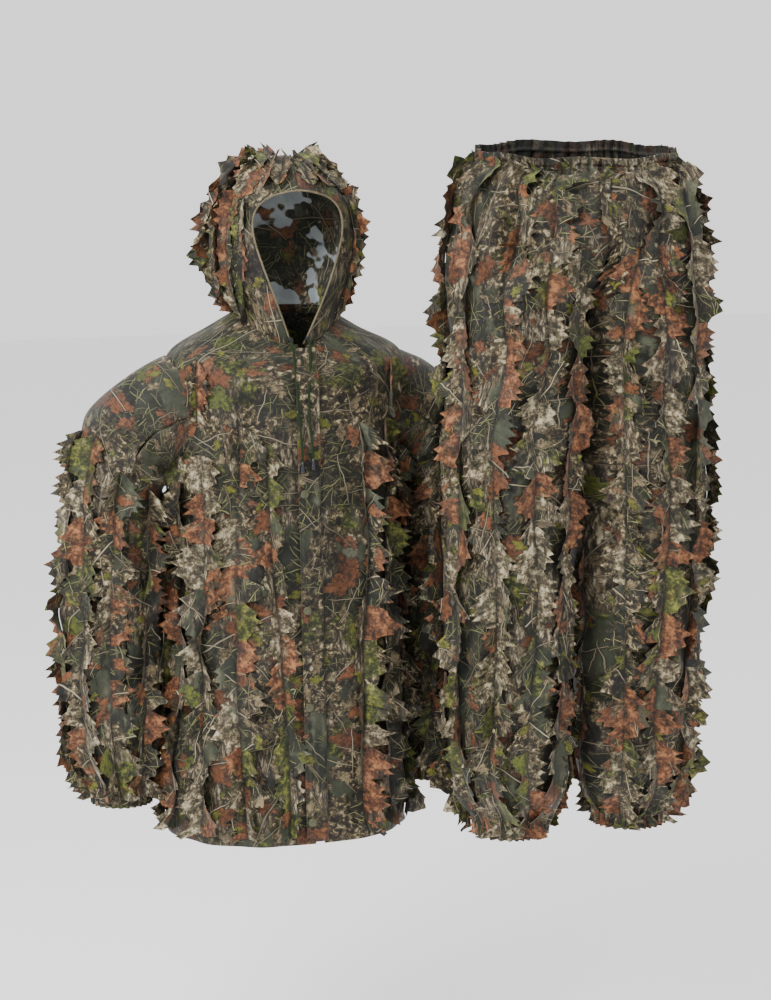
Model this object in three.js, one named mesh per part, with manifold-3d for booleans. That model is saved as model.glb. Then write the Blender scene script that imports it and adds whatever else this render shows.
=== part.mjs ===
// A leaf-strip camouflage suit: a hooded jacket and a pair of trousers, hung side by side.
// Millimetres, +Z up, fronts towards -Y. The wearer's right is -X, and the origin is the middle of the neck.
import * as THREE from 'three';
import { mergeVertices } from 'three/addons/utils/BufferGeometryUtils.js';
import Module from 'manifold-3d';

const wasm = await Module();
wasm.setup();

// Driving dimensions
const CLOTH = 3;                 // a sewn double layer of cloth
const SEAM = 0.6;                // gap between two neighbouring pieces
const SQUARENESS = 2.3;          // exponent of the oval body sections, 2 is an ellipse
const HEM_Z = -745;              // lower edge of the jacket's panels
const BAND = 30;                 // height of the hem, cuff and waist bands
const CHEST_DEPTH = 102;         // depth of the front line at the level of the neck
const FRONT_SLOPE = 0.062;       // how far the front line leans out on its way down
const NECK_DIP = 44;             // how much lower the neck seam runs at the throat
const ZIP_X = 8;                 // the zip runs beside the centre line, under the flap
const ZIP_HALF = 7;
const FLAP_X = [-16, 20];        // free edge and sewn edge of the storm flap
const FLAP_TOP_Z = -212;
const FLAP_LIFT = 7;             // height of the flap over the front panels
const SNAP_Z = [-238, -415, -563, -740];
const SNAP_X = -8;
const TROUSERS = new THREE.Vector3(403, -195, 0);
const WAIST_Z = 262;
const CORD_RADIUS = 1.8;
const SLIDER_Z = -128;           // the zip's slider, just below its top stop
const GATHER_WALL = 6;           // thickness of a gathered casing from outside to inside
const LEAF_PITCH = 42;
const LEAF_WIDTH = 24;
const LEAF_CLEAR = 2;            // gap between a leaf strip and the cloth it is sewn to
const RIGHT = -1;
const LEFT = 1;

const frontDepth = (z) => CHEST_DEPTH - FRONT_SLOPE * z;
const FRONT_TILT = Math.atan(FRONT_SLOPE);

// height, half width, depth in front, depth behind
const TORSO = [
  [HEM_Z, 186, frontDepth(HEM_Z), 126],
  [-600, 182, frontDepth(-600), 120],
  [-400, 177, frontDepth(-400), 114],
  [-205, 180, frontDepth(-205), 112],
  [-110, 187, frontDepth(-110), 108],
  [-60, 188, frontDepth(-60), 98],
  [-22, 176, 92, 84],
  [8, 124, 82, 70],
  [28, 76, 70, 58],
];
// the same, with the half width of the face opening
const HOOD = [
  [50, 84, 78, 70, 9],
  [90, 102, 88, 94, 72],
  [140, 109, 93, 110, 84],
  [190, 104, 90, 110, 58],
  [225, 84, 74, 94, 45],
  [248, 52, 48, 66, 42],
];
// centre out and up, tilt of the section in degrees, its two radii, centre behind the neck
const SLEEVE = [
  [193, -118, 90, 82, 72, 8],
  [222, -130, 64, 82, 74, 14],
  [252, -190, 30, 73, 73, 22],
  [262, -275, 10, 72, 71, 28],
  [267, -400, 0, 71, 68, 32],
  [267, -540, 0, 70, 65, 34],
  [262, -650, 0, 62, 58, 34],
  [256, -700, 0, 46, 46, 34],
];
// height, half width, half depth
const SEAT = [
  [WAIST_Z, 150, 112],
  [238, 176, 124],
  [180, 192, 130],
  [90, 201, 129],
  [-10, 202, 120],
];
// height, centre out from the middle, half width, half depth
const LEG = [
  [-36, 104, 98, 117],
  [-200, 106, 99, 108],
  [-400, 108, 97, 100],
  [-600, 106, 92, 92],
  [-695, 103, 84, 84],
  [-742, 100, 58, 58],
];
const CROTCH = { centre: 97, width: 101, depth: 118 };
const ARMHOLE = { z: SLEEVE[0][1], y: SLEEVE[0][5], high: SLEEVE[0][3] + 3, wide: SLEEVE[0][4] + 4 };
const CENTRE_PANEL_HALF = 41;

// Shape helpers

// A smooth curve through the rows of a table, from the first at 0 to the last at 1.
function between(rows, t) {
  const place = THREE.MathUtils.clamp(t, 0, 1) * (rows.length - 1);
  const first = Math.min(Math.floor(place), rows.length - 2);
  const k = place - first;
  const row = (i) => rows[THREE.MathUtils.clamp(i, 0, rows.length - 1)];
  return rows[0].map((_, column) => {
    const [a, b, c, d] = [-1, 0, 1, 2].map((step) => row(first + step)[column]);
    return b + 0.5 * k * (c - a + k * (2 * a - 5 * b + 4 * c - d + k * (3 * (b - c) + d - a)));
  });
}

const signedPower = (value, power) => Math.sign(value) * Math.abs(value) ** power;

// A point of an oval section at an angle from the front, positive towards the wearer's left.
function ovalPoint(angle, half, front, behind, z) {
  const depth = Math.cos(angle) > 0 ? front : behind;
  const x = half * signedPower(Math.sin(angle), 2 / SQUARENESS);
  const y = -depth * signedPower(Math.cos(angle), 2 / SQUARENESS);
  return new THREE.Vector3(x, y, z);
}

// The angle at which an oval section reaches x in front.
const angleAtX = (x, half) => Math.asin(signedPower(x / half, SQUARENESS / 2));

// One closed solid: shared vertices merged, faces pointing out.
function closed(geometry) {
  geometry.deleteAttribute('normal');
  geometry.deleteAttribute('uv');
  const merged = mergeVertices(geometry, 1e-3);
  const position = merged.attributes.position;
  const index = merged.index.array;
  const corner = (i) => new THREE.Vector3().fromBufferAttribute(position, index[i]);
  let volume = 0;
  for (let i = 0; i < index.length; i += 3) {
    volume += corner(i).dot(corner(i + 1).cross(corner(i + 2)));
  }
  if (volume < 0) {
    for (let i = 0; i < index.length; i += 3) {
      [index[i], index[i + 1]] = [index[i + 1], index[i]];
    }
  }
  return merged;
}

// A sheet of cloth: surface(u, v) is its outer face, and the cloth lies on its inner side.
function sheet(across, along, surface, thickness = CLOTH) {
  const geometry = new THREE.BoxGeometry(1, 1, 1, across, along, 1);
  const position = geometry.attributes.position;
  for (let i = 0; i < position.count; i += 1) {
    const u = position.getX(i) + 0.5;
    const v = position.getY(i) + 0.5;
    const inward = position.getZ(i) + 0.5;
    const point = surface(u, v);
    point.addScaledVector(outward(surface, u, v), -inward * thickness);
    position.setXYZ(i, point.x, point.y, point.z);
  }
  return closed(geometry);
}

// The unit normal of surface(u, v), on the side that u then v turn round anticlockwise.
function outward(surface, u, v) {
  const step = 1e-3;
  const u0 = Math.max(u - step, 0);
  const u1 = Math.min(u + step, 1);
  const v0 = Math.max(v - step, 0);
  const v1 = Math.min(v + step, 1);
  const alongU = surface(u1, v).sub(surface(u0, v));
  const alongV = surface(u, v1).sub(surface(u, v0));
  return alongU.cross(alongV).normalize();
}

// A closed band: each outline point [in, up] is swept round, and place(turn, up, in) puts it in space.
function band(outline, around, place) {
  const profile = outline.map(([inside, up]) => new THREE.Vector2(2 - inside, up));
  const geometry = new THREE.LatheGeometry([...profile, profile[0]], around);
  const position = geometry.attributes.position;
  for (let i = 0; i < position.count; i += 1) {
    const turn = Math.atan2(position.getX(i), position.getZ(i));
    const radius = Math.hypot(position.getX(i), position.getZ(i));
    const point = place(turn, position.getY(i), 2 - radius);
    position.setXYZ(i, point.x, point.y, point.z);
  }
  return closed(geometry);
}

const CASING = [[0, 0], [1, 0], [1, 0.18], [0.3, 0.18], [0.3, 0.82], [1, 0.82], [1, 1], [0, 1]];
const ELASTIC = [[0.42, 0.26], [0.9, 0.26], [0.9, 0.74], [0.42, 0.74]];

// Joins solids that overlap into one.
function union(geometries) {
  const solids = geometries.map((geometry) => {
    const mesh = closed(geometry);
    return new wasm.Manifold(new wasm.Mesh({
      numProp: 3,
      vertProperties: new Float32Array(mesh.attributes.position.array),
      triVerts: new Uint32Array(mesh.index.array),
    }));
  });
  const result = solids.reduce((whole, next) => whole.add(next)).getMesh();
  const geometry = new THREE.BufferGeometry();
  geometry.setAttribute('position', new THREE.BufferAttribute(result.vertProperties, 3));
  geometry.setIndex(new THREE.BufferAttribute(result.triVerts, 1));
  return geometry;
}

const FINISHES = {
  print: { color: 0x575038, roughness: 0.6, metalness: 0 },
  binding: { color: 0x6f7165, roughness: 0.8, metalness: 0 },
  leaf: { color: 0x84502e, roughness: 0.55, metalness: 0 },
  elastic: { color: 0x2c2d27, roughness: 0.9, metalness: 0 },
  cord: { color: 0x24331f, roughness: 0.8, metalness: 0 },
  moulded: { color: 0x10141c, roughness: 0.3, metalness: 0 },
  zip: { color: 0x1d1e19, roughness: 0.5, metalness: 0.6 },
};

const suit = new THREE.Group();
const trousers = new THREE.Group();
trousers.position.copy(TROUSERS);
const frontLine = new THREE.Group();
frontLine.position.set(0, -CHEST_DEPTH, 0);
frontLine.rotation.x = -FRONT_TILT;
suit.add(trousers, frontLine);

function add(parent, name, geometry, finish) {
  const mesh = new THREE.Mesh(geometry, new THREE.MeshStandardMaterial(FINISHES[finish]));
  mesh.name = name;
  parent.add(mesh);
  return mesh;
}

const sideName = (side) => (side === RIGHT ? 'right' : 'left');

// Jacket body

function torso(angle, t) {
  const [z, half, front, behind] = between(TORSO, t);
  const point = ovalPoint(angle, half, front, behind, z);
  const throat = Math.max(Math.cos(angle), 0) ** 2;
  point.z -= NECK_DIP * throat * THREE.MathUtils.smoothstep(t, 0.55, 1);
  return point;
}

// Half the front-to-back width of the armhole at a height, 0 above and below it.
function armholeHalf(z) {
  const reach = (z - ARMHOLE.z) / ARMHOLE.high;
  return ARMHOLE.wide * Math.sqrt(Math.max(1 - reach * reach, 0));
}

// The angle from the front, or from behind, at which a panel stops for the side seam or the armhole.
function sideEdge(t, depth, shift) {
  const z = between(TORSO, t)[0];
  const hole = armholeHalf(z);
  const clear = Math.max(hole > 0 ? hole + shift : 0, 0) + SEAM;
  return Math.acos(Math.min(clear / depth, 1) ** (SQUARENESS / 2));
}

function addTorsoPanels() {
  for (const side of [RIGHT, LEFT]) {
    const front = (u, v) => {
      const [, half, depth] = between(TORSO, v);
      const start = angleAtX(side * ZIP_X + ZIP_HALF, half);
      const angle = THREE.MathUtils.lerp(start, sideEdge(v, depth, -ARMHOLE.y), u);
      return torso(side * angle, v);
    };
    const surface = side === RIGHT ? (u, v) => front(1 - u, v) : front;
    add(suit, `front_panel_${sideName(side)}`, sheet(8, 13, surface), 'print');
  }
  const back = (u, v) => {
    const reach = sideEdge(v, between(TORSO, v)[3], ARMHOLE.y);
    return torso(Math.PI + reach * (2 * u - 1), v);
  };
  add(suit, 'back_panel', sheet(14, 13, back), 'print');
}

// A band along the front line's opening: it starts left of the zip and runs round the back to its right.
function openBand(surfaceAt, half, across) {
  const start = angleAtX(ZIP_X + ZIP_HALF, half);
  const end = 2 * Math.PI + angleAtX(ZIP_X - ZIP_HALF, half);
  return sheet(across, 1, (u, v) => surfaceAt(THREE.MathUtils.lerp(start, end, u), v));
}

function addBands() {
  const hem = (angle, v) => {
    const point = torso(angle, 0);
    point.z -= SEAM + BAND * (1 - v);
    return point;
  };
  add(suit, 'hem_band', openBand(hem, TORSO[0][1], 28), 'print');
  const neckRow = TORSO[TORSO.length - 1];
  const collar = (angle, v) => {
    const point = torso(angle, 1);
    const spread = 1 + 0.05 * v;
    point.set(point.x * spread, point.y * spread, point.z + SEAM + 1 + v * (BAND - 12));
    return point;
  };
  add(suit, 'collar_band', openBand(collar, neckRow[1], 22), 'binding');
}

const localOnFront = (z) => z / Math.cos(FRONT_TILT);

// A flat bar on the front line, from one x to another and between two heights.
function addFrontBar(name, xs, zs, lift, thickness, finish) {
  const low = localOnFront(zs[0]);
  const high = localOnFront(zs[1]);
  const bar = new THREE.BoxGeometry(xs[1] - xs[0], thickness, high - low);
  const mesh = add(frontLine, name, closed(bar), finish);
  mesh.position.set((xs[0] + xs[1]) / 2, -lift - thickness / 2, (low + high) / 2);
  return mesh;
}

function addSnap(name, z, lift, radius, height) {
  const profile = [[0, 0], [radius, 0], [radius, height * 0.6], [radius * 0.8, height], [0, height]];
  const points = profile.map(([r, y]) => new THREE.Vector2(r, y));
  const mesh = add(frontLine, name, closed(new THREE.LatheGeometry(points, 14)), 'moulded');
  mesh.rotation.x = Math.PI;
  mesh.position.set(SNAP_X, -lift, localOnFront(z));
}

function addFrontClosure() {
  const tape = 6;
  const zipZ = [HEM_Z - 24, -112];
  addFrontBar('zip_tape_right', [ZIP_X - SEAM / 2 - tape, ZIP_X - SEAM / 2], zipZ, -2.2, 1.6, 'zip');
  addFrontBar('zip_tape_left', [ZIP_X + SEAM / 2, ZIP_X + SEAM / 2 + tape], zipZ, -2.2, 1.6, 'zip');
  const flapThick = 2.5;
  addFrontBar('storm_flap', FLAP_X, [HEM_Z - 26, FLAP_TOP_Z], FLAP_LIFT, flapThick, 'print');
  addFrontBar('flap_top', FLAP_X, [FLAP_TOP_Z + 2, -112], FLAP_LIFT, flapThick, 'print');
  SNAP_Z.forEach((z, i) => {
    addSnap(`snap_socket_${i + 1}`, z, 1, 6, 2.2);
    addSnap(`snap_cap_${i + 1}`, z, FLAP_LIFT + flapThick + 0.3, 7, 2.6);
  });
}

function addZipSlider() {
  const foot = new THREE.BoxGeometry(11, 2.8, 15);
  const post = new THREE.CylinderGeometry(1.4, 1.4, 3.6, 12);
  post.translate(0, -2.6, -4);
  const slider = add(frontLine, 'zip_slider', union([foot, post]), 'zip');
  slider.position.set(ZIP_X, -2.3, localOnFront(SLIDER_Z));

  const plate = new THREE.Shape();
  plate.moveTo(-3, -22);
  plate.absarc(0, 0, 4, Math.PI, 0, true);
  plate.lineTo(3, -22);
  plate.closePath();
  const eye = new THREE.Path();
  eye.absarc(0, 0, 1.9, 0, 2 * Math.PI, false);
  plate.holes.push(eye);
  const pull = new THREE.ExtrudeGeometry(plate, { depth: 1.4, bevelEnabled: false, curveSegments: 10 });
  pull.rotateX(Math.PI / 2);
  const mesh = add(frontLine, 'zip_pull', closed(pull), 'zip');
  mesh.position.set(ZIP_X, -4.2, localOnFront(SLIDER_Z) - 4);
}

// A strap sewn down at both ends, as a flat frame 60 by 18 with a gap for the hook.
function addHangLoop() {
  const corners = (x, y) => [[-x, -y], [x, -y], [x, y], [-x, y]].map((corner) => new THREE.Vector2(...corner));
  const loop = new THREE.Shape(corners(30, 9));
  loop.holes.push(new THREE.Path(corners(24, 5)));
  const strap = new THREE.ExtrudeGeometry(loop, { depth: 2, bevelEnabled: false });
  const mesh = add(suit, 'hang_loop', closed(strap), 'binding');
  mesh.rotation.x = Math.PI / 2;
  mesh.position.set(0, 46, 12);
}

// Drawcords

// The route of each free cord end, from its eyelet to its bell.
const CORD_ROUTES = {
  right: [
    [-15, -82, -8], [-15, -88, -10], [-15.5, -98, -19], [-16, -107, -40], [-16, -114, -68],
    [-15, -120, -98], [-14, -124.5, -128], [-12.5, -128, -158], [-12, -131, -186],
  ],
  left: [
    [13, -82, -8], [13, -88, -10], [12, -98, -20], [9, -107, -42], [5, -114.5, -70],
    [2, -120.5, -98], [2, -125, -128], [4, -128, -156], [5, -131, -182],
  ],
};

function addCords() {
  for (const [name, route] of Object.entries(CORD_ROUTES)) {
    const path = new THREE.CatmullRomCurve3(route.map((point) => new THREE.Vector3(...point)));
    const section = new THREE.Shape();
    section.absarc(0, 0, CORD_RADIUS, 0, 2 * Math.PI, false);
    const options = { steps: 22, extrudePath: path, curveSegments: 4, bevelEnabled: false };
    add(suit, `drawcord_${name}`, closed(new THREE.ExtrudeGeometry(section, options)), 'cord');

    const ring = [[2.6, -1], [4.6, -1], [4.6, 1], [2.6, 1], [2.6, -1]];
    const eyelet = new THREE.LatheGeometry(ring.map(([r, y]) => new THREE.Vector2(r, y)), 14);
    const [x, y, z] = route[0];
    add(suit, `eyelet_${name}`, closed(eyelet), 'moulded').position.set(x, y, z);

    const bell = [[0, 0], [2.6, 0], [3.4, -6], [5.2, -15], [4.6, -17], [0, -17]];
    const end = new THREE.LatheGeometry(bell.map(([r, h]) => new THREE.Vector2(r, h)), 12);
    end.rotateX(Math.PI / 2);
    const last = route[route.length - 1];
    const mesh = add(suit, `cord_end_${name}`, closed(end), 'moulded');
    mesh.position.set(last[0], last[1], last[2] - 1);
  }
}

// Hood

function hood(angle, t) {
  const [z, half, front, behind] = between(HOOD, t);
  const point = ovalPoint(angle, half, front, behind, z);
  const throat = Math.max(Math.cos(angle), 0) ** 2;
  point.z -= NECK_DIP * throat * (1 - THREE.MathUtils.smoothstep(t, 0, 0.35));
  return point;
}

const CENTRE_PATH = new THREE.CatmullRomCurve3([
  [-87, 204], [-74, 232], [-46, 254], [0, 265], [48, 256], [84, 230], [108, 186], [112, 136], [97, 88], [73, 52],
].map(([y, z]) => new THREE.Vector3(0, y, z)));

function centrePanel(u, v) {
  const x = CENTRE_PANEL_HALF * (2 * u - 1);
  const point = CENTRE_PATH.getPoint(1 - v);
  const tangent = CENTRE_PATH.getTangent(1 - v);
  const droop = 7 * (x / CENTRE_PANEL_HALF) ** 2;
  point.x = x;
  point.y -= droop * -tangent.z;
  point.z -= droop * tangent.y;
  return point;
}

function addHood() {
  for (const side of [RIGHT, LEFT]) {
    const panel = (u, v) => {
      const [, half, , , opening] = between(HOOD, v);
      const start = angleAtX(opening, half);
      const end = Math.PI - angleAtX(CENTRE_PANEL_HALF + 2, half);
      return hood(side * THREE.MathUtils.lerp(start, end, u), v);
    };
    const surface = side === RIGHT ? (u, v) => panel(1 - u, v) : panel;
    add(suit, `hood_side_${sideName(side)}`, sheet(8, 10, surface), 'print');
  }
  add(suit, 'hood_centre_panel', sheet(4, 14, centrePanel), 'print');

  const rim = [];
  const rows = 7;
  for (let i = 0; i <= rows; i += 1) {
    const [, half, , , opening] = between(HOOD, 0.02 + 0.6 * (i / rows));
    rim.push(hood(angleAtX(opening, half), 0.02 + 0.6 * (i / rows)).add(new THREE.Vector3(0, -8, 0)));
  }
  const brow = new THREE.Vector3(0, -95, 200);
  const mirrored = rim.map((point) => new THREE.Vector3(-point.x, point.y, point.z));
  const path = new THREE.CatmullRomCurve3([...rim, brow, ...mirrored.reverse()]);
  const section = new THREE.Shape();
  section.absellipse(0, 0, 3, 5, 0, 2 * Math.PI, false, 0);
  const hem = new THREE.ExtrudeGeometry(section, { steps: 30, extrudePath: path, curveSegments: 2 });
  add(suit, 'hood_face_hem', closed(hem), 'binding');
}

// Sleeves

// The top edge lies round the armhole, on the side of the body.
function sleeve(side, angle, t) {
  const [x, z, tilt, outReach, depth, y] = between(SLEEVE, t);
  const out = outReach * Math.sin(angle);
  const lean = THREE.MathUtils.degToRad(tilt);
  const point = new THREE.Vector3();
  point.x = x + out * Math.cos(lean);
  point.y = y - depth * Math.cos(angle);
  point.z = z + out * Math.sin(lean);
  const onBody = bodySideX(point.y, point.z) + 2 * CLOTH;
  point.x = side * THREE.MathUtils.lerp(onBody, point.x, THREE.MathUtils.smoothstep(t, 0, 0.24));
  return point;
}

// How far out the side of the body is, at a place from front to back near the armhole.
function bodySideX(y, z) {
  const [, half, front, behind] = TORSO[z > (TORSO[4][0] + TORSO[5][0]) / 2 ? 5 : 4];
  const reach = Math.min(Math.abs(y) / (y < 0 ? front : behind), 1);
  return half * (1 - reach ** SQUARENESS) ** (1 / SQUARENESS);
}

// Front and back half of a tube whose surface is tube(angle, t), with t falling from the top.
function addTubeHalves(parent, names, tube, across, along) {
  const halves = [[-Math.PI / 2, Math.PI / 2], [Math.PI / 2, 1.5 * Math.PI]];
  halves.forEach(([start, end], i) => {
    const gap = 0.012;
    const surface = (u, v) => tube(THREE.MathUtils.lerp(start + gap, end - gap, u), 1 - v);
    add(parent, names[i], sheet(across, along, surface), 'print');
  });
}

// The casing of a gathered end and the elastic inside it: ring(turn, inset) is the edge they start from.
function addGatheredEnd(parent, name, ring, height, rise) {
  const place = (turn, up, inside) => {
    const point = ring(turn, inside * GATHER_WALL);
    point.z += rise * (up * height + SEAM);
    return point;
  };
  add(parent, `${name}_casing`, band(CASING, 18, place), 'print');
  add(parent, `${name}_elastic`, band(ELASTIC, 18, place), 'elastic');
}

function addSleeves() {
  for (const side of [RIGHT, LEFT]) {
    const name = sideName(side);
    const tube = (angle, t) => sleeve(side, side * angle, t);
    addTubeHalves(suit, [`sleeve_front_${name}`, `sleeve_back_${name}`], tube, 6, 11);
    const [x, z, , outReach, depth, y] = SLEEVE[SLEEVE.length - 1];
    const ring = (turn, inset) => new THREE.Vector3(
      side * x + (outReach - inset) * Math.sin(turn),
      y - (depth - inset) * Math.cos(turn),
      z,
    );
    addGatheredEnd(suit, `cuff_${name}`, ring, BAND, -1);
  }
}

// Trousers

// The outline round the tops of both legs, as a distance from the middle.
function legsOutline(angle) {
  const x = Math.abs(Math.sin(angle));
  const y = Math.cos(angle);
  const a = (x / CROTCH.width) ** 2 + (y / CROTCH.depth) ** 2;
  const b = (-2 * x * CROTCH.centre) / CROTCH.width ** 2;
  const c = (CROTCH.centre / CROTCH.width) ** 2 - 1;
  return (-b + Math.sqrt(b * b - 4 * a * c)) / (2 * a);
}

function seat(angle, t) {
  const [z, half, depth] = between(SEAT, t);
  const point = ovalPoint(angle, half, depth, depth, z);
  const direction = Math.atan2(point.x, -point.y);
  const reach = legsOutline(direction);
  const legs = new THREE.Vector3(reach * Math.sin(direction), -reach * Math.cos(direction), z);
  return point.lerp(legs, THREE.MathUtils.smoothstep(t, 0.55, 1));
}

function addSeat() {
  const quarters = {
    front_rise_left: [0, 0.5], back_rise_left: [0.5, 1], back_rise_right: [1, 1.5], front_rise_right: [1.5, 2],
  };
  for (const [name, [start, end]] of Object.entries(quarters)) {
    const seam = angleAtX(1.5, SEAT[1][1]);
    const surface = (u, v) => seat(THREE.MathUtils.lerp(start * Math.PI + seam, end * Math.PI - seam, u), 1 - v);
    add(trousers, name, sheet(7, 9, surface), 'print');
  }
  const [z, half, depth] = SEAT[0];
  const ring = (turn, inset) => ovalPoint(turn, half - inset, depth - inset, depth - inset, z);
  addGatheredEnd(trousers, 'waist', ring, BAND, 1);
}

function leg(side, angle, t) {
  const [z, x, half, depth] = between(LEG, t);
  return new THREE.Vector3(side * x + half * Math.sin(angle), -depth * Math.cos(angle), z);
}

function addLegs() {
  for (const side of [RIGHT, LEFT]) {
    const name = sideName(side);
    const tube = (angle, t) => leg(side, angle, t);
    addTubeHalves(trousers, [`leg_front_${name}`, `leg_back_${name}`], tube, 7, 8);
    const [z, x, half, depth] = LEG[LEG.length - 1];
    const ring = (turn, inset) => new THREE.Vector3(
      side * x + (half - inset) * Math.sin(turn),
      -(depth - inset) * Math.cos(turn),
      z,
    );
    addGatheredEnd(trousers, `ankle_${name}`, ring, BAND, -1);
  }
}

// Leaf strips: ribbons sewn down the garment that stand off it, cut along their free edge into leaves.

function addLeafStrip(parent, name, base, length) {
  const leaves = Math.round(length / LEAF_PITCH);
  const surface = (u, v) => {
    const { point, out } = base(v);
    const saw = Math.abs(((v * leaves * 2) % 2) - 1);
    return point.addScaledVector(out, LEAF_CLEAR + u * LEAF_WIDTH * (0.45 + 0.55 * saw));
  };
  add(parent, name, sheet(1, leaves * 2, surface, 1.2), 'leaf');
}

// A line down a surface of (angle, t) at one angle, with the direction away from it.
function lineDown(surface, angle, top, bottom) {
  return (v) => {
    const t = THREE.MathUtils.lerp(bottom, top, v);
    const step = 0.02;
    const point = surface(angle, t);
    const aside = surface(angle + step, t).sub(point).normalize();
    const down = surface(angle, t + (t > 0.5 ? -step : step)).sub(point);
    const out = aside.clone().cross(down).normalize();
    const middle = surface(angle + Math.PI, t);
    if (out.dot(point.clone().sub(middle)) < 0) {
      out.negate();
    }
    return { point, out };
  };
}

function addLeafStrips() {
  for (const side of [RIGHT, LEFT]) {
    const name = sideName(side);
    const onSleeve = (angle, t) => sleeve(side, side * angle, t);
    const sleeveLine = lineDown(onSleeve, side * (Math.PI / 2 - 0.2), 0.12, 0.96);
    addLeafStrip(suit, `leaf_strip_sleeve_${name}`, sleeveLine, 600);
    const legLine = lineDown((angle, t) => leg(side, angle, t), side * Math.PI / 2, 0.02, 0.97);
    addLeafStrip(trousers, `leaf_strip_leg_${name}`, legLine, 700);
    const frontStrip = lineDown(torso, side * 0.62, 0.7, 0.02);
    addLeafStrip(suit, `leaf_strip_front_${name}`, frontStrip, 640);
  }
  addLeafStrip(suit, 'leaf_strip_back', lineDown(torso, Math.PI, 0.8, 0.02), 720);
}

addTorsoPanels();
addBands();
addFrontClosure();
addZipSlider();
addHangLoop();
addCords();
addHood();
addSleeves();
addSeat();
addLegs();
addLeafStrips();

export default suit;
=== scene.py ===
"""A leaf-strip camouflage suit: hooded jacket and trousers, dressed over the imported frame."""
import math

import bmesh
import bpy
import numpy as np
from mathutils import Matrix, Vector


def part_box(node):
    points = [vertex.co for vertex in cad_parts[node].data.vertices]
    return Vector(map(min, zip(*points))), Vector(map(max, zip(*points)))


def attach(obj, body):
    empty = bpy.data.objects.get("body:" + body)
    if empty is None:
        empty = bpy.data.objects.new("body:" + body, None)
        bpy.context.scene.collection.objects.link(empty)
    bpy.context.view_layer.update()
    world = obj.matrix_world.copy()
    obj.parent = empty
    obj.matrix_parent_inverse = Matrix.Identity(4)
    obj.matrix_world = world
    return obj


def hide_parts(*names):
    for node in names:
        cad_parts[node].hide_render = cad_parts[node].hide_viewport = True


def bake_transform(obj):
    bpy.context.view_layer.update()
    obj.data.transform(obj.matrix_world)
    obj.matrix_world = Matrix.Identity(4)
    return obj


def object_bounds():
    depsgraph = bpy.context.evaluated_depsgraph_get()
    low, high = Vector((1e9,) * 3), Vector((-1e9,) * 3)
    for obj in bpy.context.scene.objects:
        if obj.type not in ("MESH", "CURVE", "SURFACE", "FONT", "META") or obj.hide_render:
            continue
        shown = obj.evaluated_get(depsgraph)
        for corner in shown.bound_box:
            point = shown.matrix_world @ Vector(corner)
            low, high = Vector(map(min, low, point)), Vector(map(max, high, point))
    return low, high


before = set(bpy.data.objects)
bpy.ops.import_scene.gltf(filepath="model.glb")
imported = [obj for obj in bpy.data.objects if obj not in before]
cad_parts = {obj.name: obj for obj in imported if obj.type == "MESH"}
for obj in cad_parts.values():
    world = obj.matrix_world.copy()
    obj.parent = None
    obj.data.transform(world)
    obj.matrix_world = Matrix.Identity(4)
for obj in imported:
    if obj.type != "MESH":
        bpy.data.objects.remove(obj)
CAD_LOW, CAD_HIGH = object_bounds()

TAU = 2 * math.pi
RIGHT, LEFT = -1, 1
SIDE_NAMES = {RIGHT: "right", LEFT: "left"}
MM = 0.001


# ---------------------------------------------------------------- camera, light and floor

VIEW_AZIMUTH = math.radians(-20)
VIEW_ELEVATION = math.radians(9)
VIEW_DISTANCE = 4.6
VIEW_SPAN = 1.536            # height of the view at the suit's distance, in metres
VIEW_AIM = (0.158, -0.262)   # middle of the view, right of and above the neck
SENSOR = 36
SUIT_MIDDLE = ((CAD_LOW[0] + CAD_HIGH[0]) / 2, 0, (CAD_LOW[2] + CAD_HIGH[2]) / 2)
LIGHTS = {   # place, aim, size, power
    "key": ((-2.3, -2.0, 1.7), (0, 0, -0.2), 1.3, 175),
    "fill": ((3.0, -2.4, 0.8), SUIT_MIDDLE, 2.6, 10),
    "top": ((0.2, 0.2, 3.2), SUIT_MIDDLE, 2.5, 70),
}
WORLD_STRENGTH = 1.4
FLOOR_SIZE, FLOOR_DROP, FLOOR_TONE = 12, 0.5, 0.92


def new_object(name, data):
    thing = bpy.data.objects.new(name, data)
    bpy.context.scene.collection.objects.link(thing)
    return thing


def add_camera():
    right = Vector((math.cos(VIEW_AZIMUTH), math.sin(VIEW_AZIMUTH), 0))
    level = math.cos(VIEW_ELEVATION)
    back = Vector((math.sin(VIEW_AZIMUTH) * level, -math.cos(VIEW_AZIMUTH) * level, math.sin(VIEW_ELEVATION)))
    data = bpy.data.cameras.new("camera")
    data.sensor_fit = "VERTICAL"
    data.sensor_height = SENSOR
    data.lens = SENSOR * VIEW_DISTANCE / VIEW_SPAN
    camera = new_object("camera", data)
    camera.location = right * VIEW_AIM[0] + back.cross(right) * VIEW_AIM[1] + back * VIEW_DISTANCE
    camera.rotation_euler = back.to_track_quat("Z", "Y").to_euler()
    bpy.context.scene.camera = camera


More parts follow.
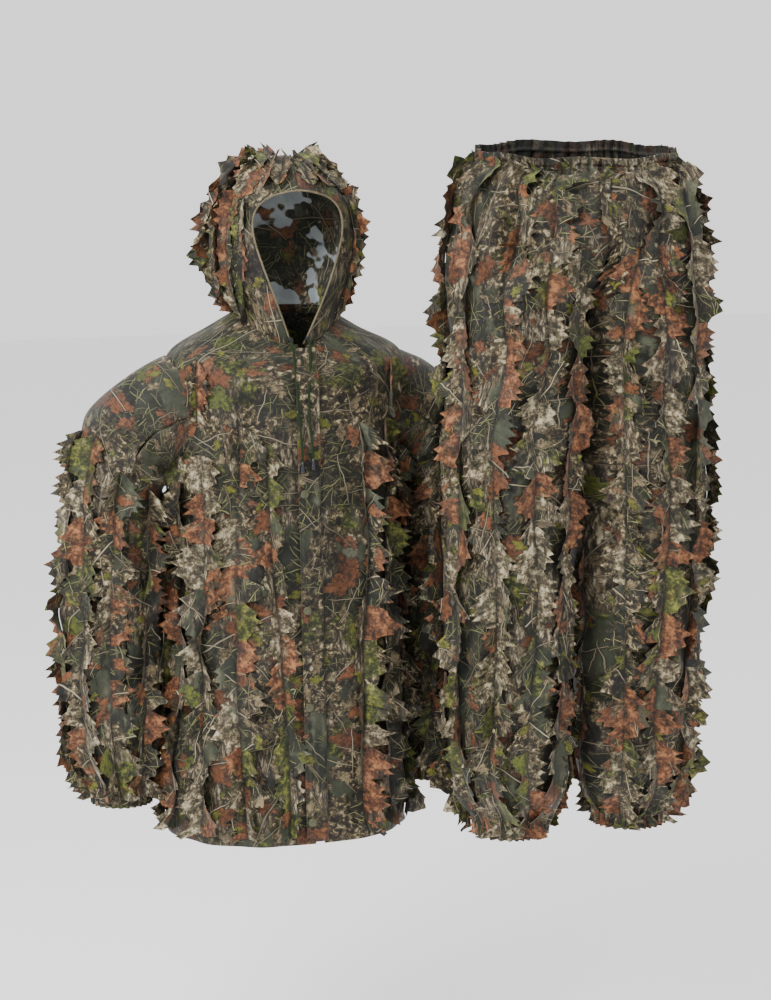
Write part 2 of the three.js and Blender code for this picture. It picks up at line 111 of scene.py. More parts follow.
def add_studio():
    for name, (place, aim, size, power) in LIGHTS.items():
        data = bpy.data.lights.new(name, "AREA")
        data.shape = "SQUARE"
        data.size = size
        data.energy = power
        light = new_object(name, data)
        light.location = place
        light.rotation_euler = (Vector(place) - Vector(aim)).to_track_quat("Z", "Y").to_euler()
    world = bpy.data.worlds.new("studio")
    bpy.context.scene.world = world
    world.use_nodes = True
    background = world.node_tree.nodes["Background"]
    background.inputs["Color"].default_value = (1, 1, 1, 1)
    background.inputs["Strength"].default_value = WORLD_STRENGTH
    mesh = bpy.data.meshes.new("floor")
    shape = bmesh.new()
    bmesh.ops.create_grid(shape, x_segments=1, y_segments=1, size=FLOOR_SIZE)
    bmesh.ops.translate(shape, verts=shape.verts, vec=(0, 0, CAD_LOW[2] - FLOOR_DROP))
    shape.to_mesh(mesh)
    shape.free()
    floor = new_object("floor", mesh)
    material, _, shader = new_material("pale_floor")
    shader.inputs["Base Color"].default_value = (FLOOR_TONE, FLOOR_TONE, FLOOR_TONE, 1)
    shader.inputs["Roughness"].default_value = 1
    mesh.materials.append(material)


# ---------------------------------------------------------------- node helpers

FLOAT, VECTOR, COLOR = "NodeSocketFloat", "NodeSocketVector", "NodeSocketColor"


class Value:
    """A node's output, written into sums as a number is. A sum on a vector or a colour is a vector sum."""

    def __init__(self, nodes, socket):
        self.nodes, self.socket = nodes, socket
        self.wide = socket.type in ("VECTOR", "RGBA")

    def join(self, operation, a, b):
        return self.nodes.vector(operation, a, b) if self.wide else self.nodes.math(operation, a, b)

    def __add__(self, other):
        return self.join("ADD", self, other)

    def __sub__(self, other):
        return self.join("SUBTRACT", self, other)

    def __rsub__(self, other):
        return self.join("SUBTRACT", other, self)

    def __mul__(self, other):
        if self.wide and not isinstance(other, tuple) and not getattr(other, "wide", False):
            return self.nodes.add("ShaderNodeVectorMath", {"Vector": self, "Scale": other}, operation="SCALE")
        return self.join("MULTIPLY", self, other)

    def __truediv__(self, other):
        return self.join("DIVIDE", self, other)


class Nodes:
    """A short way to write node trees: every call adds a node and gives back its output, or several."""

    def __init__(self, tree):
        self.tree = tree

    def feed(self, node, inputs):
        for key, value in inputs.items():
            if isinstance(value, Value):
                self.tree.links.new(value.socket, node.inputs[key])
            else:
                node.inputs[key].default_value = value

    def add(self, kind, inputs, output=0, **settings):
        node = self.tree.nodes.new(kind)
        for key, value in settings.items():
            setattr(node, key, value)
        self.feed(node, inputs)
        if isinstance(output, tuple):
            return [Value(self, node.outputs[key]) for key in output]
        return Value(self, node.outputs[output])

    def math(self, operation, a, b=0.0):
        return self.add("ShaderNodeMath", {0: a, 1: b}, operation=operation)

    def vector(self, operation, a, b):
        return self.add("ShaderNodeVectorMath", {0: a, 1: b}, operation=operation)

    def combine(self, x, y, z=0.0):
        return self.add("ShaderNodeCombineXYZ", {"X": x, "Y": y, "Z": z})

    def split(self, vector):
        return self.add("ShaderNodeSeparateXYZ", {0: vector}, (0, 1, 2))

    def smooth(self, value, low, high, start=0.0, end=1.0):
        inputs = {"Value": value, "From Min": low, "From Max": high, "To Min": start, "To Max": end}
        return self.add("ShaderNodeMapRange", inputs, interpolation_type="SMOOTHSTEP")

    def noise(self, vector, scale, detail=3.0, rough=0.55, output="Fac", warp=0.0):
        inputs = {"Vector": vector, "Scale": scale, "Detail": detail, "Roughness": rough, "Distortion": warp}
        return self.add("ShaderNodeTexNoise", inputs, output)

    def mix(self, factor, a, b, blend="MIX"):
        return self.add("ShaderNodeMix", {0: factor, 6: a, 7: b}, 2, data_type="RGBA", blend_type=blend)

    def ramp(self, value, *stops):
        """A colour ramp. A stop is its place and its red, green and blue."""
        node = self.tree.nodes.new("ShaderNodeValToRGB")
        self.feed(node, {0: value})
        elements = node.color_ramp.elements
        while len(elements) < len(stops):
            elements.new(0.5)
        for element, (place, *color) in zip(elements, stops):
            element.position = place
            element.color = rgb(*color)
        return Value(self, node.outputs[0])

    def group(self, tree, inputs, output):
        return self.add("ShaderNodeGroup", inputs, output, node_tree=tree)

    def cloth(self, layer="cloth"):
        return self.add("ShaderNodeUVMap", {}, uv_map=layer)

    def bump(self, shader, height, strength, distance):
        inputs = {"Height": height, "Strength": strength, "Distance": distance}
        self.feed(shader, {"Normal": self.add("ShaderNodeBump", inputs)})


def new_group(name, inputs, outputs):
    """A shader node group with named sockets. Gives the group, its node writer, its inputs and its output node."""
    tree = bpy.data.node_groups.new(name, "ShaderNodeTree")
    for way, sockets in (("INPUT", inputs), ("OUTPUT", outputs)):
        for label, kind in sockets.items():
            tree.interface.new_socket(label, in_out=way, socket_type=kind)
    n = Nodes(tree)
    start, end = tree.nodes.new("NodeGroupInput"), tree.nodes.new("NodeGroupOutput")
    return tree, n, {label: Value(n, start.outputs[label]) for label in inputs}, end


def rgb(red, green, blue):
    """A colour given as it looks, 0 to 255 a channel, as the shader wants it."""
    shown = [channel / 255 for channel in (red, green, blue)]
    linear = [c / 12.92 if c <= 0.04045 else ((c + 0.055) / 1.055) ** 2.4 for c in shown]
    return (*linear, 1)


# ---------------------------------------------------------------- print groups

SCATTER = {"Vector": VECTOR, "Scale": FLOAT, "Shift": FLOAT}


def scattered_cells():
    """One feature point a cell, with the place seen from it, turned its own way, and two random values."""
    tree, n, given, end = new_group("scattered_cells", SCATTER, {"Place": VECTOR, "Random": FLOAT, "Chance": FLOAT})
    moved = given["Vector"] * given["Scale"] + n.combine(given["Shift"], given["Shift"] * 1.7)
    inputs = {"Vector": moved, "Scale": 1, "Randomness": 0.85}
    feature, color = n.add("ShaderNodeTexVoronoi", inputs, ("Position", "Color"), voronoi_dimensions="2D")
    turn, random, chance = n.add("ShaderNodeSeparateColor", {0: color}, (0, 1, 2))
    inputs = {"Vector": moved - feature, "Angle": turn * TAU}
    turned_place = n.add("ShaderNodeVectorRotate", inputs, rotation_type="Z_AXIS")
    n.feed(end, {"Place": turned_place, "Random": random, "Chance": chance})
    return tree


def in_cells(n, cells, given):
    return n.group(cells, {key: given[key] for key in SCATTER}, ("Place", "Random", "Chance"))


def leaf_shapes(cells):
    """Pointed, lobed leaves scattered over cloth: their mask, their veins, a soft shadow round them."""
    tree, n, given, end = new_group(
        "leaf_shapes", {**SCATTER, "Share": FLOAT, "Slimness": FLOAT},
        {"Leaf": FLOAT, "Vein": FLOAT, "Shadow": FLOAT, "Random": FLOAT})
    place, random, chance = in_cells(n, cells, given)
    bent = place + (n.noise(place, 2.4, output="Color") - (0.5, 0.5, 0.5)) * 0.34
    narrowed = bent * n.combine(1.0, given["Slimness"])
    x, y, _ = n.split(narrowed)
    angle = n.math("ARCTAN2", y, x)
    radius = n.add("ShaderNodeVectorMath", {"Vector": narrowed * (1, 1, 0)}, "Value", operation="LENGTH")
    lobe = n.math("PINGPONG", angle * (5 / TAU) + 20.5, 0.5)
    teeth = n.math("PINGPONG", angle * (19 / TAU) + 20.0, 0.5)
    toward_tip = n.math("COSINE", angle) * 0.28 + 0.86
    inside = (lobe * 0.36 + 0.28) * toward_tip + teeth * 0.14 - radius
    kept = n.math("LESS_THAN", chance, given["Share"])
    worn = n.smooth(n.noise(place, 9.0, 4.0, 0.7), 0.36, 0.44)
    n.feed(end, {
        "Leaf": kept * worn * n.smooth(inside, 0.0, 0.02),
        "Vein": n.smooth((0.5 - lobe) * radius, 0.004, 0.026, 1.0, 0.0),
        "Shadow": kept * n.smooth(inside, -0.12, 0.05),
        "Random": random,
    })
    return tree


def stroke_shapes(cells):
    """Thin, nearly straight strokes that taper to both ends, such as twigs and stalks."""
    tree, n, given, end = new_group(
        "stroke_shapes", {**SCATTER, "Share": FLOAT, "Width": FLOAT},
        {"Stroke": FLOAT, "Shadow": FLOAT, "Random": FLOAT})
    place, random, chance = in_cells(n, cells, given)
    x, y, _ = n.split(place)
    wander = (n.noise(n.combine(x, random * 30.0), 1.7, 2.0) - 0.5) * 0.20
    along = n.math("ABSOLUTE", x)
    kept = n.smooth(along, 0.42, 0.5, 1.0, 0.0) * n.math("LESS_THAN", chance, given["Share"])
    away = n.math("ABSOLUTE", y + wander) / (given["Width"] * (1.0 - along))
    n.feed(end, {
        "Stroke": kept * n.smooth(away, 0.7, 1.1, 1.0, 0.0),
        "Shadow": kept * n.smooth(away, 1.0, 3.5, 1.0, 0.0),
        "Random": random,
    })
    return tree


def bark_cloth():
    """The ground of the print: dark litter, lichened bark with upright streaks, and smooth grey-green patches."""
    tree, n, given, end = new_group("bark_cloth", {"Vector": VECTOR}, {"Color": COLOR, "Bark": FLOAT})
    place = given["Vector"]
    upright = place * (1.0, 0.28, 1.0)
    litter = n.ramp(
        n.noise(place, 105.0, 8.0, 0.74, warp=0.6), (0.38, 16, 13, 9), (0.46, 50, 42, 28), (0.515, 92, 80, 54),
        (0.555, 134, 118, 86), (0.605, 214, 200, 164))
    bark = n.ramp(
        n.noise(upright, 150.0, 8.0, 0.74, warp=0.8),
        (0.38, 24, 20, 14), (0.46, 82, 70, 52), (0.53, 138, 124, 98), (0.62, 214, 202, 174))
    warped = upright + n.noise(place, 60.0, output="Color") * 0.012
    cracks = n.add("ShaderNodeTexVoronoi", {"Vector": warped, "Scale": 95.0}, "Distance",
                   feature="DISTANCE_TO_EDGE", voronoi_dimensions="2D")
    bark = n.mix(n.smooth(cracks, 0.0, 0.12, 0.8, 0.0), bark, rgb(28, 24, 18))
    is_bark = n.smooth(n.noise(place * (1.0, 0.35, 1.0), 9.0, 3.0, 0.6, warp=0.3), 0.51, 0.55)
    ground = n.mix(is_bark, litter, bark)
    is_smooth = n.smooth(n.noise((place + (3.1, 7.7, 0)) * (1.0, 0.6, 1.0), 9.5, 3.0, 0.6), 0.55, 0.59)
    grey = n.ramp(n.noise(upright, 26.0, 5.0, 0.6), (0.34, 46, 52, 38), (0.5, 80, 84, 64), (0.66, 124, 126, 104))
    grey = n.mix(n.smooth(n.noise(place, 190.0, 5.0, 0.7), 0.5, 0.66, 0.0, 0.5), grey, rgb(40, 42, 32))
    ground = n.mix(is_smooth, ground, grey)
    is_green = n.smooth(n.noise(place + (9.4, 1.3, 0), 10.0, 4.0, 0.62), 0.56, 0.62)
    moss = n.ramp(n.noise(place, 95.0, 7.0, 0.72), (0.38, 24, 30, 10), (0.5, 72, 78, 28), (0.62, 146, 148, 72))
    ground = n.mix(is_green, ground, moss)
    dark_place = n.noise(place * (1.0, 0.5, 1.0) + (5.2, 4.4, 0), 16.0, 5.0, 0.65)
    ground = n.mix(n.smooth(dark_place, 0.53, 0.60, 0.0, 0.85), ground, rgb(17, 15, 9))
    n.feed(end, {"Color": ground, "Bark": is_bark})
    return tree


# scale, shift, share of the cells, width
GRASS = ((22.0, 2.3, 1.0, 0.019), (27.0, 8.9, 1.0, 0.021), (33.0, 5.7, 1.0, 0.025), (25.0, 3.9, 1.0, 0.019),
         (38.0, 1.1, 1.0, 0.027), (30.0, 7.1, 1.0, 0.022))
TWIGS = ((4.6, 4.2, 0.8, 0.006), (7.5, 7.4, 0.8, 0.008), (12.0, 3.6, 0.7, 0.011), (17.0, 6.6, 0.6, 0.013))
# scale, shift, share of the cells, slimness, darkest and lightest colour
LEAVES = (
    (26.0, 5.5, 0.34, 1.9, rgb(50, 38, 24), rgb(176, 158, 122)),
    (15.0, 1.7, 0.30, 1.5, rgb(58, 34, 19), rgb(150, 98, 62)),
    (13.5, 6.1, 0.08, 1.6, rgb(44, 54, 16), rgb(128, 134, 58)),
    (20.5, 9.3, 0.22, 2.0, rgb(66, 38, 22), rgb(172, 116, 76)),
    (32.0, 4.8, 0.12, 1.9, rgb(66, 70, 22), rgb(150, 148, 62)),
)


def camo_print(cells):
    """The whole print: ground, tufts of grass, leaves in tan, rust and lime, and pale twigs on top."""
    leaves = leaf_shapes(cells)
    strokes = stroke_shapes(cells)
    ground = bark_cloth()
    tree, n, given, end = new_group(
        "camo_print", {"Vector": VECTOR}, {"Color": COLOR, "Rough": FLOAT, "Height": FLOAT})
    place = given["Vector"]
    color, bark = n.group(ground, {"Vector": place}, ("Color", "Bark"))
    shade = n.noise(place, 34.0, 5.0, 0.65)
    grain = n.noise(place, 150.0, 5.0, 0.7)

    def lay_strokes(color, settings, dark, light, where=None):
        for scale, shift, share, width in settings:
            inputs = {"Vector": place, "Scale": scale, "Shift": shift, "Share": share, "Width": width}
            stroke, shadow, random = n.group(strokes, inputs, ("Stroke", "Shadow", "Random"))
            if where:
                stroke, shadow = stroke * where, shadow * where
            color = n.mix(shadow * 0.6, color, rgb(20, 18, 13))
            color = n.mix(stroke, color, n.mix(random, dark, light))
        return color

    in_tuft = n.smooth(n.noise(place + (1.9, 6.3, 0), 9.0, 3.0, 0.6), 0.50, 0.55)
    color = n.mix(in_tuft * 0.75, color, rgb(26, 30, 17))
    color = lay_strokes(color, GRASS, rgb(66, 76, 38), rgb(176, 172, 118), in_tuft)
    for scale, shift, share, slimness, dark, light in LEAVES:
        inputs = {"Vector": place, "Scale": scale, "Shift": shift, "Share": share, "Slimness": slimness}
        leaf, vein, shadow, random = n.group(leaves, inputs, ("Leaf", "Vein", "Shadow", "Random"))
        color = n.mix(shadow * 0.8, color, rgb(18, 15, 11))
        face = n.mix(random * 0.30 + shade * 2.0 + grain * 3.0 - 2.2, dark, light)
        face = n.mix(vein * 0.4, face, light)
        worn = n.smooth(grain + shade * 0.6, 0.62, 0.70)
        color = n.mix(leaf * (worn * 0.55 + 0.45), color, face)
    color = lay_strokes(color, TWIGS, rgb(92, 76, 54), rgb(196, 184, 156))
    n.feed(end, {"Color": color, "Rough": n.smooth(shade, 0.3, 0.7, 0.60, 0.74), "Height": bark * shade})
    return tree


def weave():
    """The height of a plain weave over cloth measured in metres."""
    tree, n, given, end = new_group("plain_weave", {"Vector": VECTOR, "Pitch": FLOAT}, {"Height": FLOAT})
    x, y, _ = n.split(given["Vector"])
    turns = n.math("DIVIDE", TAU, given["Pitch"])
    n.feed(end, {"Height": n.math("SINE", x * turns) * n.math("SINE", y * turns)})
    return tree


PRINT = camo_print(scattered_cells())
WEAVE = weave()


# ---------------------------------------------------------------- materials

CLOTH_PITCH = 0.0016
CONTRAST = 1.12


def new_material(name):
    material = bpy.data.materials.new(name)
    material.use_nodes = True
    return material, Nodes(material.node_tree), material.node_tree.nodes["Principled BSDF"]


def printed_cloth(name, brightness, leaves=False, reverse=False):
    """Thin printed polyester, with its own weave, dimmed to a given brightness, which for the base cloth is partly
    and for the inside wholly painted shade. Leaf strips get painted shade towards their sewn line, and are cut from
    every part of the print; the reverse of the cloth shows the print faintly, with bare blue-grey patches."""
    material, n, shader = new_material(name)
    place = n.cloth()
    color, rough, height = n.group(PRINT, {"Vector": place}, ("Color", "Rough", "Height"))
    if leaves:
        from_seam, pick, _ = n.split(n.cloth("wing"))
        color = leaf_tint(n, place, color, pick)
        # painted shade: the leaf cloth is multiplied darker towards its sewn line, standing for the shade in the
        # crease under the lobes
        near = n.smooth(from_seam, 0.0, 0.25, 0.45, 1.0)
        color = n.mix(1.0, color, n.add("ShaderNodeCombineColor", {0: near, 1: near, 2: near}), "MULTIPLY")
    if reverse:
        bare = n.smooth(n.noise(place, 11.0, 3.0, 0.6), 0.52, 0.54)
        pale = n.ramp(n.noise(place, 30.0, 4.0), (0.3, 172, 180, 184), (0.7, 216, 222, 224))
        color = n.mix(bare, n.mix(0.2, color, rgb(110, 116, 112)), pale)
    # the print is dimmed by the brightness: overall tone, and for the base cloth and the inside also painted shade
    dimmed_tone_and_shade = n.mix(1.0, color, (brightness, brightness, brightness, 1), "MULTIPLY")
    dimmed_tone_and_shade = n.add("ShaderNodeGamma", {"Color": dimmed_tone_and_shade, "Gamma": CONTRAST})
    n.feed(shader, {"Base Color": dimmed_tone_and_shade, "Roughness": rough, "Specular IOR Level": 0.3, "Sheen Weight": 0.06})
    thread = n.group(WEAVE, {"Vector": place, "Pitch": CLOTH_PITCH}, "Height")
    n.bump(shader, thread * 0.06 + (height + n.noise(place, 38.0, 3.0, 0.5) * 2.0), 0.5, 0.0022)
    return material


def leaf_tint(n, place, color, pick):
    """Rust, beige, olive and tan leaves: each cut lobe leans to one of them, and keeps some of the print."""
    depth = n.noise(place, 60.0, 7.0, 0.72) * 0.7 + n.noise(place, 210.0, 4.0, 0.7) * 0.3
    rust = n.ramp(depth, (0.41, 32, 18, 9), (0.5, 118, 72, 42), (0.59, 190, 134, 92))
    beige = n.ramp(depth, (0.42, 28, 23, 15), (0.5, 110, 98, 72), (0.585, 222, 208, 176))
    olive = n.ramp(depth, (0.40, 24, 30, 8), (0.5, 78, 84, 30), (0.60, 156, 156, 76))
    patch = n.smooth(n.noise(place + (2.7, 3.3, 0), 20.0, 3.0, 0.6), 0.40, 0.47, 0.15, 0.9)
    for low, high, tint in ((0.44, 0.66, rust), (0.66, 0.90, beige), (0.90, 0.97, olive)):
        chosen = n.math("GREATER_THAN", pick, low) * n.math("LESS_THAN", pick, high)
        color = n.mix(chosen * patch, color, tint)
    return color


def woven(name, dark, light, pitch, rough, relief=0.0004):
    """Binding, elastic or cord: one dyed colour with its weave and a little soiling."""
    material, n, shader = new_material(name)
    place = n.cloth()
    thread = n.group(WEAVE, {"Vector": place, "Pitch": pitch}, "Height")
    soil = n.noise(place, 60.0, 4.0, 0.6)
    n.feed(shader, {
        "Base Color": n.ramp(thread * 0.2 + soil, (0.25, *dark), (0.75, *light)),
        "Roughness": n.smooth(soil, 0.3, 0.7, rough - 0.08, rough + 0.08),
        "Specular IOR Level": 0.2,
    })
    n.bump(shader, thread, 0.6, relief)
    return material


def moulded(name, dark, light, rough, metallic=0.0):
    """Moulded or coated small parts, lightly scuffed."""
    material, n, shader = new_material(name)
    place = n.add("ShaderNodeTexCoord", {}, "Object")
    scuff = n.noise(place, 900.0, 5.0, 0.7)
    n.feed(shader, {
        "Base Color": n.ramp(n.noise(place, 220.0, 3.0, 0.5), (0.3, *dark), (0.7, *light)),
        "Roughness": n.smooth(scuff, 0.4, 0.75, rough, rough + 0.22),
        "Metallic": metallic,
    })
    n.bump(shader, scuff, 0.12, 0.0002)
    return material


# the base cloth is dimmed below the leaf cloth, partly for its tone and partly as painted shade in the gaps under
# the strips
CLOTH = printed_cloth("printed_cloth", 0.46)
LEAF_CLOTH = printed_cloth("leaf_cloth", 0.60, leaves=True)
REVERSE = printed_cloth("cloth_reverse", 0.8, reverse=True)
# painted shade: the inside of the sleeves, legs and seat is the print dimmed to 0.14 for the shade within them
INSIDE_PAINTED_SHADE = printed_cloth("cloth_inside", 0.14)
BINDING = woven("binding_tape", (66, 60, 45), (122, 112, 90), 0.0012, 0.8)
ELASTIC = woven("ribbed_elastic", (26, 26, 22), (48, 48, 42), 0.002, 0.85)
CORD = woven("braided_cord", (10, 24, 10), (30, 50, 22), 0.0016, 0.85)
MOULDED = moulded("moulded_black", (6, 8, 12), (16, 20, 27), 0.2)
SNAP = moulded("snap_olive", (50, 50, 32), (72, 72, 48), 0.6)
ZIP = moulded("zip_coat", (24, 24, 20), (44, 44, 38), 0.4, 0.4)


# ---------------------------------------------------------------- the cloth surfaces

def middle_of(node):
    return [(low + high) / 2 for low, high in zip(*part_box(node))]


TROUSERS_X, TROUSERS_Y, _ = middle_of("waist_casing")
HEM_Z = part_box("hem_band")[0][2]
WAIST_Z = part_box("waist_casing")[1][2]
CUFF_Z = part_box("cuff_right_casing")[0][2]
ANKLE_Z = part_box("ankle_right_casing")[0][2]
SQUARENESS = 2.3
FRONT_SLOPE = 0.062
FRONT_TILT = math.atan(FRONT_SLOPE)
CHEST_DEPTH = 0.102
NECK_DIP = 0.044
ZIP_X = 0.008
FLAP_LIFT = 0.0085


def front_depth(z):
    return CHEST_DEPTH - FRONT_SLOPE * z


# height, half width, depth in front, depth behind
TORSO = np.array([
    (HEM_Z, 0.187, front_depth(HEM_Z), 0.127),
    (-0.600, 0.182, front_depth(-0.600), 0.120),
    (-0.400, 0.177, front_depth(-0.400), 0.114),
    (-0.205, 0.180, front_depth(-0.205), 0.112),
    (-0.110, 0.187, front_depth(-0.110), 0.108),
    (-0.060, 0.188, front_depth(-0.060), 0.098),
    (-0.028, 0.176, 0.092, 0.084),
    (0.002, 0.124, 0.082, 0.070),
    (0.028, 0.076, 0.070, 0.058),
])
# height, half width, depth in front, depth behind
HOOD = np.array([
    (0.028, 0.078, 0.071, 0.060),
    (0.050, 0.086, 0.079, 0.071),
    (0.090, 0.100, 0.089, 0.094),
    (0.140, 0.107, 0.094, 0.111),
    (0.176, 0.103, 0.093, 0.113),
    (0.200, 0.094, 0.089, 0.107),
    (0.222, 0.080, 0.077, 0.096),
    (0.246, 0.056, 0.054, 0.072),
    (0.260, 0.031, 0.030, 0.042),
    (0.266, 0.003, 0.003, 0.004),
])
# centre out and up, tilt of the section in degrees, its two radii, centre behind the neck
SLEEVE = np.array([
    (0.193, -0.118, 90, 0.084, 0.074, 0.008),
    (0.222, -0.130, 64, 0.084, 0.075, 0.014),
    (0.252, -0.190, 30, 0.074, 0.074, 0.022),
    (0.260, -0.275, 10, 0.075, 0.072, 0.028),
    (0.263, -0.400, 0, 0.076, 0.069, 0.032),
    (0.264, -0.540, 0, 0.074, 0.067, 0.034),
    (0.261, -0.650, 0, 0.065, 0.061, 0.034),
    (0.257, -0.696, 0, 0.048, 0.048, 0.034),
    (0.256, CUFF_Z, 0, 0.046, 0.046, 0.034),
])
# height, half width, half depth
SEAT = np.array([
    (WAIST_Z, 0.150, 0.112),
    (WAIST_Z - 0.030, 0.153, 0.114),
    (0.238, 0.170, 0.122),
    (0.180, 0.190, 0.130),
    (0.090, 0.201, 0.129),
    (-0.010, 0.202, 0.120),
])
# height, centre out from the middle, half width, half depth
LEG = np.array([
    (-0.009, 0.098, 0.1005, 0.1185),
    (-0.100, 0.104, 0.100, 0.113),
    (-0.200, 0.106, 0.099, 0.108),
    (-0.400, 0.108, 0.097, 0.100),
    (-0.600, 0.106, 0.092, 0.092),
    (-0.695, 0.103, 0.085, 0.085),
    (-0.742, 0.100, 0.060, 0.060),
    (ANKLE_Z, 0.100, 0.056, 0.057),
])
CROTCH_CENTRE, CROTCH_WIDTH, CROTCH_DEPTH = 0.097, 0.101, 0.118
ARMHOLE_Y, ARMHOLE_Z, ARMHOLE_WIDE, ARMHOLE_HIGH = 0.008, -0.118, 0.065, 0.075


def between(rows, t):
    """A smooth curve through the rows of a table, for an array of places from 0 to 1."""
    place = np.clip(t, 0, 1) * (len(rows) - 1)
    first = np.minimum(place.astype(int), len(rows) - 2)
    k = (place - first)[..., None]
    a, b, c, d = (rows[np.clip(first + step, 0, len(rows) - 1)] for step in (-1, 0, 1, 2))
    return b + 0.5 * k * (c - a + k * (2 * a - 5 * b + 4 * c - d + k * (3 * (b - c) + d - a)))


def power(value, exponent):
    return np.sign(value) * np.abs(value) ** exponent


def oval(angle, half, front, behind):
    depth = np.where(np.cos(angle) > 0, front, behind)
    x = half * power(np.sin(angle), 2 / SQUARENESS)
    y = -depth * power(np.cos(angle), 2 / SQUARENESS)
    return x, y


def smoothstep(value, low, high):
    k = np.clip((value - low) / (high - low), 0, 1)
    return k * k * (3 - 2 * k)


class Folds:
    """Soft random folds: waves that wander, over cloth measured in metres."""

    def __init__(self, seed, waves, across, along, wander):
        random = np.random.default_rng(seed)
        self.across = random.uniform(*across, waves) * random.choice([-1, 1], waves)
        self.along = random.uniform(*along, waves) * random.choice([-1, 1], waves)
        self.phase = random.uniform(0, TAU, (3, waves))
        self.wander = wander * random.uniform(0.5, 1.5, waves)
        self.slow = random.uniform(2.0, 6.0, (2, waves))
        self.size = 1 / math.sqrt(waves)

    def at(self, u, v):
        u, v = u[..., None], v[..., None]
        drift = np.sin(TAU * self.slow[0] * v + self.phase[1]) * self.wander
        wave = np.sin(TAU * (self.across * u + self.along * v) + self.phase[0] + drift)
        swell = 0.65 + 0.35 * np.sin(TAU * self.slow[1] * v + self.phase[2])
        return (wave * swell).sum(-1) * self.size


def upright(rows, angle, t, dipped):
    """A place on the torso or on the hood, whose edges dip at the throat."""
    z, half, front, behind = np.moveaxis(between(rows, t), -1, 0)
    x, y = oval(angle, half, front, behind)
    throat = np.maximum(np.cos(angle), 0) ** 2
    return np.stack([x, y, z - NECK_DIP * throat * dipped], -1)


def torso(angle, t):
    return upright(TORSO, angle, t, smoothstep(t, 0.55, 1))


def hood(angle, t):
    return upright(HOOD, angle, t, 1 - smoothstep(t, 0, 0.35))


def body_side_x(y, z):
    """How far out the body's side is, beside an armhole."""
    row = np.where((z > -0.085)[..., None], TORSO[5], TORSO[4])
    depth = np.where(y < 0, row[..., 2], row[..., 3])
    reach = np.minimum(np.abs(y) / depth, 1)
    return row[..., 1] * (1 - reach ** SQUARENESS) ** (1 / SQUARENESS)


def sleeve_of(side):
    def surface(angle, t):
        x, z, tilt, out_reach, depth, y = np.moveaxis(between(SLEEVE, t), -1, 0)
        out = out_reach * np.sin(angle)
        lean = np.radians(tilt)
        px, py, pz = x + out * np.cos(lean), y - depth * np.cos(angle), z + out * np.sin(lean)
        on_body = body_side_x(py, pz) - 0.002
        px = on_body + (px - on_body) * smoothstep(t, 0, 0.22)
        return np.stack([side * px, py, pz], -1)
    return surface


def legs_outline(direction):
    """How far out both legs together reach at the crotch, in a direction from the middle."""
    x, y = np.abs(np.sin(direction)), np.cos(direction)
    a = (x / CROTCH_WIDTH) ** 2 + (y / CROTCH_DEPTH) ** 2
    b = -2 * x * CROTCH_CENTRE / CROTCH_WIDTH ** 2
    c = (CROTCH_CENTRE / CROTCH_WIDTH) ** 2 - 1
    return (-b + np.sqrt(b * b - 4 * a * c)) / (2 * a)


def seat(angle, t):
    z, half, depth = np.moveaxis(between(SEAT, t), -1, 0)
    x, y = oval(angle, half, depth, depth)
    direction = np.arctan2(x, -y)
    reach = legs_outline(direction)
    k = smoothstep(t, 0.62, 1)
    x = x + (reach * np.sin(direction) - x) * k
    y = y + (-reach * np.cos(direction) - y) * k
    z = z - (0.015 + 0.009 * np.cos(angle) + 0.0022 * np.sin(7 * angle)) * smoothstep(t, 0.45, 0)
    return np.stack([x + TROUSERS_X, y + TROUSERS_Y, z], -1)


def leg_of(side):
    def surface(angle, t):
        z, x, half, depth = np.moveaxis(between(LEG, t), -1, 0)
        out = side * x + side * half * np.sin(angle)
        return np.stack([out + TROUSERS_X, -depth * np.cos(angle) + TROUSERS_Y, z], -1)
    return surface


def seat_angle_over(side, angle):
    """The angle on the seat straight above an angle of a leg's top."""
    turns = np.linspace(0, math.pi, 400)
    x, y = oval(turns, SEAT[-1][1], SEAT[-1][2], SEAT[-1][2])
    angle = np.asarray(angle, float)
    foot = leg_of(side)(angle, np.zeros_like(angle))
    out = np.maximum(side * (foot[..., 0] - TROUSERS_X), 0)
    direction = np.arctan2(out, -(foot[..., 1] - TROUSERS_Y))
    found = np.interp(direction, np.arctan2(x, -y), turns)
    return found if side == LEFT else TAU - found


class Garment:
    """A cloth surface: its bare shape, its size in metres, its folds, and where its flat cloth starts."""

    def __init__(self, bare, girth, folds, fold_size, flip, start, drop_at=0.9):
        self.bare = bare
        self.girth = girth
        self.folds, self.fold_size = folds, fold_size
        self.flip = flip
        self.start = start
        self.heights = np.linspace(0, 1, 200)
        line = bare(np.full(200, drop_at), self.heights)
        self.runs = np.concatenate([[0], np.cumsum(np.linalg.norm(np.diff(line, axis=0), axis=1))])

    def run(self, t):
        """How far down the cloth a height is, in metres."""
        return np.interp(t, self.heights, self.runs)

    def height(self, run):
        return np.interp(run, self.runs, self.heights)

    def cloth(self, angle, t):
        """Where a place lies on the flat cloth, in metres."""
        return angle / TAU * self.girth + self.start[0], self.run(t) + self.start[1]

    def out(self, angle, t):
        step = 1e-3
        low, high = np.clip(t - step, 0, 1), np.clip(t + step, 0, 1)
        across = self.bare(angle + step, t) - self.bare(angle - step, t)
        along = self.bare(angle, high) - self.bare(angle, low)
        normal = np.cross(across, along) * self.flip
        return normal / np.maximum(np.linalg.norm(normal, axis=-1, keepdims=True), 1e-9)

    def at(self, angle, t):
        u, v = self.cloth(angle, t)
        height = self.folds(angle, t, u, v) * self.fold_size
        return self.bare(angle, t) + self.out(angle, t) * height[..., None]


